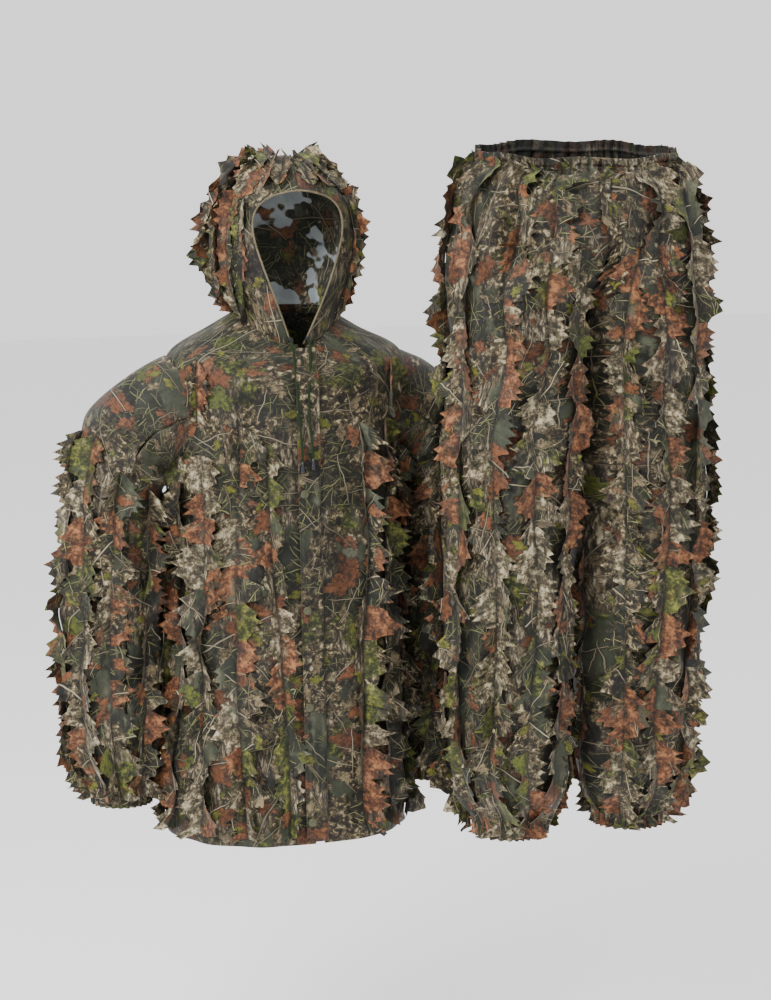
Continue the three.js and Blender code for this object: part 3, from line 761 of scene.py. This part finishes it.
def torso_folds(angle, t, u, v):
    waves = TORSO_WAVES.at(u, v) * (0.35 + 0.65 * smoothstep(t, 0.9, 0.35))
    seamed = smoothstep(np.abs(t - 0.012), 0.0, 0.012)
    flat_front = smoothstep(np.abs(np.sin(angle / 2)), 0.06, 0.2)
    return waves * flat_front * (0.4 + 0.6 * seamed)


def hood_folds(angle, t, u, v):
    return HOOD_WAVES.at(u, v) * smoothstep(t, 0, 0.2) * smoothstep(t, 1.0, 0.8)


def sleeve_folds(angle, t, u, v):
    waves = SLEEVE_WAVES.at(u, v) * smoothstep(t, 0.03, 0.2) * smoothstep(t, 0.93, 0.8)
    pleats = np.sin(angle * 26) * smoothstep(t, 0.74, 0.9) * 0.45
    return waves + pleats


def seat_folds(angle, t, u, v):
    gathers = np.sin(angle * 47 + 2 * np.sin(angle * 5))
    gathers = gathers + 0.8 * np.sin(angle * 66 + 1 + 2 * np.sin(angle * 3))
    stitched = smoothstep(np.abs(t - 0.115), 0.0, 0.022)
    pleats = gathers * smoothstep(t, 0.60, 0.18) * (0.2 + 0.8 * stitched) * 0.42 - 0.6 * (1 - stitched)
    drape = LEG_WAVES.at(u, v) * smoothstep(t, 0.2, 0.5)
    return pleats + drape


def leg_folds(angle, t, u, v):
    pleats = np.sin(angle * 30 + 2 * np.sin(angle * 4)) * smoothstep(t, 0.78, 0.92) * 0.6
    return LEG_WAVES.at(u, v) * smoothstep(t, 0.98, 0.85) + pleats


TORSO_WAVES = Folds(3, 9, (5, 13), (0.3, 2.5), 1.2)
HOOD_WAVES = Folds(5, 6, (6, 14), (1.0, 4.0), 0.8)
SLEEVE_WAVES = Folds(7, 8, (4, 11), (2.0, 8.0), 1.5)
LEG_WAVES = Folds(13, 9, (6, 14), (0.3, 2.2), 1.4)

JACKET = Garment(torso, 1.03, torso_folds, 0.0078, 1, (0.0, 0.0))
HOODED = Garment(hood, 0.62, hood_folds, 0.0038, 1, (3.3, 1.2), drop_at=1.6)
SLEEVES = {
    side: Garment(sleeve_of(side), side * 0.45, sleeve_folds, 0.0058, -side, (5.1 + side, 2.2), drop_at=1.6)
    for side in (RIGHT, LEFT)
}
SEAT_GIRTH = 1.06
SEATED = Garment(seat, SEAT_GIRTH, seat_folds, 0.0068, -1, (9.7, 4.4))


class Leg(Garment):
    """A trouser leg. Its print and its folds carry on from the seat above it."""

    def __init__(self, side):
        self.side = side
        super().__init__(leg_of(side), SEAT_GIRTH, leg_folds, 0.0068, -side, (9.7, 4.4 + SEATED.runs[-1]))

    def cloth(self, angle, t):
        over = seat_angle_over(self.side, angle)
        return over / TAU * self.girth + self.start[0], self.run(t) + self.start[1]

    def whole(self, leg_part, seat_part):
        """The same question asked of the leg below the crotch and of the seat above it, at heights below 0."""
        def ask(angle, t):
            angle, t = np.asarray(angle, float), np.asarray(t, float)
            below = leg_part(angle, np.maximum(t, 0))
            above = seat_part(seat_angle_over(self.side, angle), np.clip(1 + t, 0, 1))
            return np.where((t < 0)[..., None], above, below)
        return ask


class Column:
    """A line down a whole trouser leg: heights from -1 at the waist over 0 at the crotch to 1 at the ankle."""

    def __init__(self, leg):
        self.leg = leg
        self.bare = leg.whole(leg.bare, SEATED.bare)
        self.at = leg.whole(leg.at, SEATED.at)
        self.out = leg.whole(leg.out, SEATED.out)

    def run(self, t):
        if t < 0:
            return SEATED.run(1 + t) - SEATED.runs[-1]
        return self.leg.run(t)

    def height(self, run):
        above = SEATED.height(run + SEATED.runs[-1]) - 1
        return np.where(run < 0, above, self.leg.height(np.maximum(run, 0)))


LEGS = {side: Leg(side) for side in (RIGHT, LEFT)}


# ---------------------------------------------------------------- making meshes

CLOTH_THICKNESS = 0.0009
SEAM_GAP = 0.00005


def finish_piece(name, shape, material, flips=False, solid=0.0, shade=True, lining=None):
    """A mesh made from a shape, with its material, and where asked a thickness and a lining."""
    mesh = bpy.data.meshes.new(name)
    if flips:
        bmesh.ops.reverse_faces(shape, faces=shape.faces)
    shape.to_mesh(mesh)
    shape.free()
    mesh.materials.append(material)
    if shade:
        mesh.polygons.foreach_set("use_smooth", [True] * len(mesh.polygons))
    piece = new_object(name, mesh)
    if solid:
        modifier = piece.modifiers.new("thickness", "SOLIDIFY")
        modifier.thickness = solid
        modifier.offset = -1
        modifier.use_even_offset = False
        if lining:
            mesh.materials.append(lining)
            modifier.material_offset = 1
    return piece


def ride_on(body):
    return lambda piece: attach(piece, body)


def enter(piece, hold, slot, *replaced):
    """Says what a piece moves with and which nodes it stands for; the slot, naming the finish it takes, is not used.
    """
    hold(piece)
    if replaced:
        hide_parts(*replaced)
    return piece


def cloth_grid(columns, rows, place):
    """A grid whose corner (u, v), from 0 to 1, is put at place(u, v), with its place on the flat cloth as its UV."""
    shape = bmesh.new()
    bmesh.ops.create_grid(shape, x_segments=columns, y_segments=rows, size=0.5)
    shape.verts.ensure_lookup_table()
    flat = np.array([vert.co[:2] for vert in shape.verts]) + 0.5
    points, cloth = place(flat[:, 0], flat[:, 1])
    layer = shape.loops.layers.uv.new("cloth")
    for face in shape.faces:
        for loop in face.loops:
            loop[layer].uv = cloth[loop.vert.index]
    for vert, point in zip(shape.verts, points):
        vert.co = point
    return shape


def faces_inward(shape, middle):
    return sum(face.normal.dot(face.calc_center_median() - middle) for face in shape.faces) < 0


def shell_piece(name, garment, columns, rows, angles, cut=None, lining=None):
    """A garment's cloth from top to bottom, between two angles at each height."""
    def place(u, t):
        start, end = angles(t)
        angle = start + (end - start) * u
        return garment.at(angle, t), np.stack(garment.cloth(angle, t), -1)
    shape = cloth_grid(columns, rows, place)
    if cut:
        gone = [face for face in shape.faces if cut(face.calc_center_median())]
        bmesh.ops.delete(shape, geom=gone, context="FACES")
    shape.normal_update()
    middle = Vector(np.mean([vert.co for vert in shape.verts], axis=0))
    return finish_piece(name, shape, CLOTH, faces_inward(shape, middle), CLOTH_THICKNESS, lining=lining)


def hold_hood(piece):
    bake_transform(piece)


def hold_sleeve(side):
    start, end = (side * 0.193, 0.008, -0.200), (side * 0.237, 0.008, -0.276)
    return lambda piece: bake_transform(piece)


def hold_leg(side):
    x = TROUSERS_X + side * 0.104
    return lambda piece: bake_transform(piece)


def full_turn(t):
    return np.zeros_like(t), np.full_like(t, TAU)


def join_seam(piece):
    """Closes the seam of a full turn."""
    shape = bmesh.new()
    shape.from_mesh(piece.data)
    bmesh.ops.remove_doubles(shape, verts=shape.verts, dist=SEAM_GAP)
    shape.to_mesh(piece.data)
    shape.free()


def make_limbs(label, limb, casing, garments, columns, rows, hold):
    """Both sleeves or both trouser legs, each closed to a tube."""
    made = {}
    for side, name in SIDE_NAMES.items():
        piece = shell_piece(f"{label}_{name}", garments[side], columns, rows, full_turn, lining=INSIDE_PAINTED_SHADE)
        join_seam(piece)
        made[side] = enter(piece, hold(side), "camo_print", f"{limb}_front_{name}", f"{limb}_back_{name}",
                           f"{casing}_{name}_casing")
    return made


def tube_along(name, points, radius, material, sides):
    """A round tube through points, with its length and its way round as its place on the cloth."""
    points = [Vector(point) for point in points]
    shape = bmesh.new()
    layer = shape.loops.layers.uv.new("cloth")
    rings = []
    across = None
    for i, point in enumerate(points):
        along = (points[min(i + 1, len(points) - 1)] - points[max(i - 1, 0)]).normalized()
        if across is None:
            across = along.orthogonal().normalized()
        across = (across - along * across.dot(along)).normalized()
        other = along.cross(across)
        ring = bmesh.ops.create_circle(shape, cap_ends=False, radius=radius, segments=sides)["verts"]
        for k, vert in enumerate(ring):
            turn = TAU * k / sides
            vert.co = point + (across * math.cos(turn) + other * math.sin(turn)) * radius
        rings.append(ring)
    edges = list(shape.edges)
    for a, b in zip(rings, rings[1:]):
        near = set(a) | set(b)
        pair = [edge for edge in edges if edge.verts[0] in near and edge.verts[1] in near]
        bmesh.ops.bridge_loops(shape, edges=pair)
    for ring in (rings[0], rings[-1]):
        bmesh.ops.contextual_create(shape, geom=ring)
    bmesh.ops.recalc_face_normals(shape, faces=shape.faces)
    place = {vert: (TAU * radius * k / sides, i * 0.004)
             for i, ring in enumerate(rings) for k, vert in enumerate(ring)}
    for face in shape.faces:
        for loop in face.loops:
            loop[layer].uv = place[loop.vert]
    return finish_piece(name, shape, material)


def turned(profile, steps):
    """A round solid with its axis upright, from its profile as radii and heights."""
    shape = bmesh.new()
    verts = [shape.verts.new((radius, 0, height)) for radius, height in profile]
    edges = [shape.edges.new(pair) for pair in zip(verts, verts[1:])]
    bmesh.ops.spin(shape, geom=verts + edges, axis=(0, 0, 1), cent=(0, 0, 0), angle=TAU, steps=steps, use_merge=True)
    bmesh.ops.remove_doubles(shape, verts=shape.verts, dist=0.00002)
    bmesh.ops.recalc_face_normals(shape, faces=shape.faces)
    return shape


# ---------------------------------------------------------------- jacket

def in_armhole(point):
    if abs(point[0]) < 0.09:
        return False
    return ((point[1] - ARMHOLE_Y) / ARMHOLE_WIDE) ** 2 + ((point[2] - ARMHOLE_Z) / ARMHOLE_HIGH) ** 2 < 1


def make_jacket_body():
    def angles(t):
        half = between(TORSO, t)[..., 1]
        start = np.arcsin(((ZIP_X + 0.007) / half) ** (SQUARENESS / 2))
        end = np.arcsin((0.001 / half) ** (SQUARENESS / 2))
        return start, TAU + end
    body = shell_piece("jacket_body", JACKET, 230, 190, angles, cut=in_armhole)
    return enter(body, ride_on("jacket"), "camo_print", "back_panel", "front_panel_right", "front_panel_left",
                 "hem_band", "leaf_strip_back")


THROAT_Z, BROW_Z = 0.012, 0.216
RIM_RADIUS = 0.0016


def opening_angle(t):
    """Half the angle of the face opening: a drop, pointed at the throat and round at the brow."""
    z, half, _, _ = np.moveaxis(between(HOOD, t), -1, 0)
    up = np.clip((z - THROAT_Z) / (BROW_Z - THROAT_Z), 0, 1)
    opening = 0.172 * up ** 1.15 * (1 - up) ** 0.4 + 0.0005
    return np.arcsin(np.clip(opening / half, 0, 1) ** (SQUARENESS / 2))


def make_hood():
    def angles(t):
        start = opening_angle(t)
        return start, TAU - start
    piece = shell_piece("hood_shell", HOODED, 150, 120, angles, lining=REVERSE)
    join_seam(piece)
    return enter(piece, hold_hood, "camo_print", "hood_side_right", "hood_side_left", "hood_centre_panel")


def make_hood_hem():
    """The bound rim of the face opening, from the throat over the brow and back."""
    evenly = np.linspace(0, 1, 400)
    rim_z = BROW_Z - (BROW_Z - HOOD[0][0]) * np.linspace(1, 0, 60) ** 2
    t = np.interp(rim_z, between(HOOD, evenly)[:, 0], evenly)
    edge = HOODED.at(opening_angle(t), t)
    half = [Vector(point) + Vector((0, -0.0015, 0)) for point in edge]
    other = [Vector((-point.x, point.y, point.z)) for point in reversed(half)]
    piece = tube_along("hood_rim", half + other[1:], RIM_RADIUS, BINDING, 10)
    enter(piece, hold_hood, "binding", "hood_face_hem")


def make_collar():
    """The neck seam's band, inside the cloth that turns up into the hood."""
    def band(u, v):
        angle = 0.16 + (TAU - 0.2) * u
        base = torso(angle, np.ones_like(u))
        inward = 0.985 - 0.02 * v
        points = base * np.stack([inward, inward, np.ones_like(u)], -1)
        points[:, 2] += (v - 0.6) * 0.014
        return points, np.stack([u * 0.45, v * 0.014], -1)
    shape = cloth_grid(90, 4, band)
    shape.normal_update()
    piece = finish_piece("collar_seam", shape, CLOTH, faces_inward(shape, Vector((0, 0, 0.01))), 0.0012)
    enter(piece, ride_on("jacket"), "binding", "collar_band")


# ---------------------------------------------------------------- front closure

FLAP_LEFT, FLAP_RIGHT = 0.020, -0.016
FLAP_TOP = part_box("storm_flap")[1][2]
FLAP_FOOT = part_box("storm_flap")[0][2]
THROAT_RISE = 0.092   # how far the flap's cloth runs up past the CAD's strip
THROAT_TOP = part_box("flap_top")[1][2] + THROAT_RISE
FLAP_THICKNESS = 0.0016
STITCH_LINE, STITCH_WIDTH, STITCH_DEPTH = 0.42, 0.03, 0.0007


def make_flap(name, top, foot, body, node, tuck):
    """A folded strip of cloth with two stitched edges, its sewn edge tucked down to the front."""
    waves = Folds(61, 5, (0.5, 3.0), (3.0, 8.0), 0.5)

    def strip(u, v):
        x = FLAP_RIGHT + (FLAP_LEFT - FLAP_RIGHT) * u
        z = foot + (top - foot) * v
        ripple = waves.at(x, z) * 0.0012 * (1.0 - 0.6 * u)
        stitch = np.exp(-((np.abs(u - 0.5) - STITCH_LINE) / STITCH_WIDTH) ** 2) * STITCH_DEPTH
        lift = FLAP_LIFT + ripple - stitch - tuck * smoothstep(u, 0.9, 1.0)
        throat = np.maximum(0, z + 0.06) * 0.42
        y = -front_depth(z) - lift * math.cos(FRONT_TILT) + throat
        return np.stack([x, y, z + lift * math.sin(FRONT_TILT)], -1), np.stack([x + 21.0, z], -1)
    shape = cloth_grid(26, int((top - foot) / 0.004), strip)
    shape.normal_update()
    flips = sum(face.normal.y for face in shape.faces) > 0
    return enter(finish_piece(name, shape, CLOTH, flips, FLAP_THICKNESS), ride_on(body), "camo_print", node)


SNAP_PROFILE = ((0.0, 0.0018), (0.0022, 0.0017), (0.0042, 0.0013), (0.0052, 0.0014), (0.0060, 0.0012),
                (0.0066, 0.0004), (0.0066, -0.0010), (0.0, -0.0010))


def make_snaps():
    outward = Vector((0, -math.cos(FRONT_TILT), math.sin(FRONT_TILT)))
    for i in range(1, 5):
        middle = Vector(middle_of(f"snap_cap_{i}"))
        shape = turned(SNAP_PROFILE, 28)
        for vert in shape.verts:
            x, y, z = vert.co
            vert.co = middle + Vector((x, 0, y)) + outward * z
        enter(finish_piece(f"snap_{i}", shape, SNAP), ride_on("storm_flap"), "moulded", f"snap_cap_{i}")


TOOTH_PITCH = 0.003
TOOTH_SIZE = (0.0034, 0.0016, 0.0017)


def make_zip_teeth():
    """Two facing rows of moulded teeth down the edges of the tapes."""
    low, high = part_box("zip_tape_right")
    shape = bmesh.new()
    for i in range(int((high[2] - low[2] - 0.01) / TOOTH_PITCH)):
        z = low[2] + 0.006 + i * TOOTH_PITCH
        side = 1 if i % 2 else -1
        made = bmesh.ops.create_cube(shape, size=1)["verts"]
        bmesh.ops.scale(shape, verts=made, vec=TOOTH_SIZE)
        bmesh.ops.translate(shape, verts=made, vec=(ZIP_X + side * 0.0012, -front_depth(z) + 0.0004, z))
    enter(finish_piece("zip_teeth", shape, ZIP, shade=False), ride_on("jacket"), "zip")


# ---------------------------------------------------------------- drawcords

CORD_DIAMETER = 0.0036
CORD_ROUTES = {   # in millimetres, from the eyelet down to the bell
    "right": [
        (-15, -82, -8), (-15, -88, -10), (-15.5, -98, -19), (-16, -107, -40), (-16, -114, -68),
        (-15, -120, -98), (-14, -124.5, -128), (-12.5, -128, -158), (-12, -131, -186),
    ],
    "left": [
        (13, -82, -8), (13, -88, -10), (12, -98, -20), (9, -107, -42), (5, -114.5, -70),
        (2, -120.5, -98), (2, -125, -128), (4, -128, -156), (5, -131, -182),
    ],
}


BELL_PROFILE = ((0.0, 0.0), (0.0024, 0.0), (0.0030, -0.001), (0.0034, -0.005), (0.0044, -0.011), (0.0051, -0.0145),
                (0.0050, -0.0162), (0.0042, -0.0170), (0.0, -0.0170))


def make_cords():
    for name, route in CORD_ROUTES.items():
        points = between(np.array(route) * MM, np.linspace(0, 1, 25))
        bell = make_bell(name)
        piece = tube_along(f"cord_{name}", points, CORD_DIAMETER / 2, CORD, 12)
        enter(piece, ride_on("jacket"), "drawcord", f"drawcord_{name}")


def make_bell(name):
    x, y, _ = middle_of(f"cord_end_{name}")
    shape = turned(BELL_PROFILE, 24)
    bmesh.ops.translate(shape, verts=shape.verts, vec=(x, y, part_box(f"cord_end_{name}")[1][2]))
    return enter(finish_piece(f"bell_{name}", shape, MOULDED), ride_on("jacket"), "moulded", f"cord_end_{name}")


# ---------------------------------------------------------------- trousers

def make_seat():
    piece = shell_piece("trouser_seat", SEATED, 340, 90, full_turn, lining=INSIDE_PAINTED_SHADE)
    join_seam(piece)
    return enter(piece, ride_on("trousers"), "camo_print", "front_rise_right", "front_rise_left",
                 "back_rise_right", "back_rise_left", "waist_casing", "waist_elastic")


# ---------------------------------------------------------------- leaf strips

TOOTH = 0.0145
# share of a tooth's pitch, share of its height
TOOTH_SHAPE = ((0.0, 0.0), (0.30, 0.40), (0.58, 1.0), (0.80, 0.35))
LOBE = 0.058
WING_COLUMNS = 5
# how far leaves may stand off the cloth, and off the front of the trousers
PROUD, FRONT_PROUD = 0.040, 0.014


def lobes_along(random, length):
    """Where the lobes of a cut edge end, with one value each for reach, rise, curl, twist and tint."""
    ends = np.cumsum(random.uniform(0.6, 1.4, int(length / LOBE * 2) + 4) * LOBE)
    count = int(np.searchsorted(ends, length)) + 1
    ends = ends[:count]
    return ends, {
        "reach": random.uniform(0.60, 1.15, count),
        "rise": random.choice([0.10, 0.25, 0.45, 0.8, 1.2], count) + random.uniform(-0.08, 0.08, count),
        "curl": random.uniform(-0.5, 0.7, count),
        "lean": random.uniform(-0.35, 0.35, count),
        "tint": random.uniform(0.0, 1.0, count),
    }


def tooth_rows(random, length):
    """Rows along a cut edge, as a place along it and a share of the tooth height."""
    count = max(int(length / TOOTH), 3)
    pitch = random.uniform(0.65, 1.35, count)
    ends = np.concatenate([[0], np.cumsum(pitch)]) / pitch.sum() * length
    size = random.uniform(0.55, 1.25, count)
    run, height = [], []
    for start, end, big in zip(ends, ends[1:], size):
        for place, share in TOOTH_SHAPE:
            run.append(start + (end - start) * place)
            height.append(share * big)
    return np.array(run + [length]), np.array(height + [0.0])


def wing(shape, layers, garment, angle_at, heights, width, way, proud, random):
    """One edge of a sewn strip: lobes of cloth that rise and curl, each cut into pointed teeth."""
    top, foot = (float(garment.run(height)) for height in heights)
    length = abs(foot - top)
    run, tooth = tooth_rows(random, length)
    ends, lobes = lobes_along(random, length)
    starts = np.concatenate([[0], ends[:-1]])
    index = np.minimum(np.searchsorted(ends, run, side="right"), len(ends) - 1)
    within = np.clip((run - starts[index]) / (ends[index] - starts[index]), 0, 1)
    bump = np.sin(np.pi * np.clip(within * 0.94 + 0.03, 0, 1)) ** 0.75
    middles = (starts + ends) / 2
    rise = np.interp(run, middles, lobes["rise"])
    curl = np.interp(run, middles, lobes["curl"])
    lean = np.interp(run, middles, lobes["lean"])
    reach = width * (lobes["reach"][index] * (0.16 + 0.72 * bump) + 0.38 * tooth * (0.35 + 0.65 * bump))
    t = garment.height(top + (foot - top) * run / length)
    angle = angle_at(t)
    base = garment.at(angle, t)
    out = garment.out(angle, t)
    step = 2e-3
    aside = garment.bare(angle + step, t) - garment.bare(angle - step, t)
    aside = aside / np.maximum(np.linalg.norm(aside, axis=-1, keepdims=True), 1e-9) * way
    along = np.cross(out, aside)
    along = along * np.where(along[:, 2:] < 0, -1, 1)
    offset = random.uniform(0, 40, 2)
    point = base + out * 0.001
    grid, flat = [point], [np.stack([offset[0] + 0 * run, offset[1] + run], -1)]
    steepest = np.where(reach < proud, 1.9, np.arcsin(np.minimum(proud / np.maximum(reach, 1e-4), 1)))
    stride = reach / WING_COLUMNS
    for k in range(WING_COLUMNS):
        high = (k + 1) / WING_COLUMNS
        turn = np.clip(rise * (1 - 0.25 * high) + curl * high * high, 0.03, steepest)
        point = (point + aside * (np.cos(turn) * stride)[:, None] + out * (np.sin(turn) * stride)[:, None]
                 + along * ((lean - 0.25) * high * stride)[:, None])
        grid.append(point)
        flat.append(np.stack([offset[0] + high * reach, offset[1] + run], -1))
    steps = len(run) - 1
    made = bmesh.ops.create_grid(shape, x_segments=WING_COLUMNS, y_segments=steps, size=0.5)["verts"]
    spot = {vert: (round((vert.co.x + 0.5) * WING_COLUMNS), round((vert.co.y + 0.5) * steps)) for vert in made}
    for vert, (column, row) in spot.items():
        vert.co = grid[column][row]
    cloth_layer, wing_layer = layers
    tint = lobes["tint"][index]
    for face in {face for vert in made for face in vert.link_faces}:
        first = min(spot[vert][1] for vert in face.verts)
        for loop in face.loops:
            column, row = spot[loop.vert]
            loop[cloth_layer].uv = flat[column][row]
            # the wing layer holds how far across the lobe a place lies, which drives the painted shade towards the
            # sewn line, and the lobe's tint
            loop[wing_layer].uv = (column / WING_COLUMNS, tint[first])


def strips(name, garment, lines, seed, hold, *replaced):
    """All the leaf strips of one garment part, as one piece. A line is its angle, its two heights, its widths on
    either side, and where it matters how far its leaves may stand off the cloth."""
    random = np.random.default_rng(seed)
    shape = bmesh.new()
    for layer in ("cloth", "wing"):
        shape.loops.layers.uv.new(layer)
    layers = shape.loops.layers.uv["cloth"], shape.loops.layers.uv["wing"]
    for angle, heights, widths, *limit in lines:
        proud = limit[0] if limit else PROUD
        sway, phase, swift = random.uniform(0.02, 0.07), random.uniform(0, TAU), random.uniform(1.2, 2.6)

        def angle_at(t, angle=angle, sway=sway, phase=phase, swift=swift):
            return angle + sway * np.sin(TAU * t * swift + phase)
        for way, width in zip((-1, 1), widths):
            width = width * random.uniform(0.9, 1.1)
            wing(shape, layers, garment, angle_at, heights, width, way, proud, random)
    return enter(finish_piece(name, shape, LEAF_CLOTH), hold, "leaf_cloth", *replaced)


def make_jacket_strips():
    lines = [(0.46, (0.46, 0.015), (0.026, 0.040)), (TAU - 0.23, (0.42, 0.015), (0.030, 0.028))]
    for i in range(13):
        angle = 0.80 + (TAU - 0.58 - 0.80) * i / 12
        side_on = abs(math.sin(angle)) > 0.80
        top = 0.40 if side_on else 0.46 if math.cos(angle) > 0 else 0.62
        lines.append((angle, (top, 0.015), (0.040, 0.040)))
    lines += [(0.90, (0.70, 0.47), (0.030, 0.026)), (TAU - 0.98, (0.72, 0.47), (0.026, 0.030))]
    return strips("leaf_strips_jacket", JACKET, lines, 21, ride_on("jacket"),
                  "leaf_strip_front_right", "leaf_strip_front_left")


def make_hood_strips():
    lines = []
    for turn in (1, -1):
        lines += [
            (turn * 1.20, (0.03, 0.62), (0.026, 0.020)),
            (turn * 1.48, (0.03, 0.86), (0.030, 0.030)),
            (turn * 1.85, (0.03, 0.88), (0.034, 0.034)),
            (turn * 2.30, (0.03, 0.88), (0.034, 0.034)),
            (turn * 2.85, (0.03, 0.88), (0.036, 0.036)),
            (turn * 0.98, (0.02, 0.58), (0.016, 0.022)),
            (turn * 0.28, (0.68, 0.92), (0.022, 0.022)),
            (turn * 0.72, (0.66, 0.93), (0.026, 0.026)),
            (turn * 1.10, (0.60, 0.90), (0.024, 0.024)),
        ]
    return strips("leaf_strips_hood", HOODED, lines, 22, hold_hood)


def make_sleeve_strips(side):
    lines = []
    for angle in (0.30, 0.95, 1.60, 2.30, 3.05, 3.85):
        top = 0.24 if 0.9 < angle < 2.4 else 0.28
        lines.append((angle, (top, 0.93), (0.036, 0.036)))
    lines += [(-0.42, (0.30, 0.93), (0.034, 0.032)), (-1.10, (0.29, 0.92), (0.032, 0.030)),
              (-1.75, (0.31, 0.92), (0.026, 0.026))]
    name = SIDE_NAMES[side]
    return strips(f"leaf_strips_sleeve_{name}", SLEEVES[side], lines, 31 + side, hold_sleeve(side),
                  f"leaf_strip_sleeve_{name}")


def make_leg_strips(side):
    limits = (FRONT_PROUD, PROUD * 0.7, PROUD, PROUD, PROUD, PROUD)
    lines = [(angle, (-0.94, 0.95), (0.037, 0.037), limit)
             for angle, limit in zip((0.0, 0.62, 1.24, 1.86, 2.50, 3.10), limits)]
    lines += [(-0.62, (-0.30, 0.95), (0.034, 0.034), FRONT_PROUD), (-2.5, (-0.30, 0.95), (0.034, 0.034)),
              (-1.4, (0.10, 0.95), (0.018, 0.018))]
    name = SIDE_NAMES[side]
    return strips(f"leaf_strips_leg_{name}", Column(LEGS[side]), lines, 41 + side, hold_leg(side),
                  f"leaf_strip_leg_{name}")


def make_seat_strips():
    lines = [(0.03, (0.06, 0.84), (0.024, 0.024), FRONT_PROUD), (math.pi, (0.06, 0.84), (0.024, 0.024))]
    return strips("leaf_strips_seat", SEATED, lines, 50, ride_on("trousers"))


# ---------------------------------------------------------------- small hardware

FINISHES = {
    ELASTIC: ("zip_tape_right", "zip_tape_left", "hang_loop", "cuff_right_elastic", "cuff_left_elastic",
              "ankle_right_elastic", "ankle_left_elastic"),
    ZIP: ("zip_slider", "zip_pull"),
    MOULDED: ("eyelet_right", "eyelet_left"),
    SNAP: ("snap_socket_1", "snap_socket_2", "snap_socket_3", "snap_socket_4"),
}


def dress_hardware():
    """CAD nodes that keep their own shape get their finish."""
    for material, names in FINISHES.items():
        for name in names:
            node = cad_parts[name]
            if not node.data.materials:
                node.data.materials.append(material)
            for slot in node.material_slots:
                slot.link = "OBJECT"
                slot.material = material


add_camera()
make_cords()
add_studio()
jacket_body = make_jacket_body()
sleeve_pieces = make_limbs("sleeve", "sleeve", "cuff", SLEEVES, 110, 170, hold_sleeve)
hood_piece = make_hood()
make_hood_hem()
make_collar()
flap = make_flap("storm_flap_cloth", FLAP_TOP, FLAP_FOOT, "storm_flap", "storm_flap", 0.004)
top_flap = make_flap("storm_flap_top", THROAT_TOP, FLAP_TOP + 0.0005, "jacket", "flap_top", 0.0)
make_snaps()
make_zip_teeth()
seat_piece = make_seat()
leg_pieces = make_limbs("trouser_leg", "leg", "ankle", LEGS, 130, 180, hold_leg)
leaf_pieces = {"jacket": make_jacket_strips(), "hood": make_hood_strips(), "seat": make_seat_strips()}
for side in (RIGHT, LEFT):
    leaf_pieces["sleeve", side] = make_sleeve_strips(side)
    leaf_pieces["leg", side] = make_leg_strips(side)
dress_hardware()
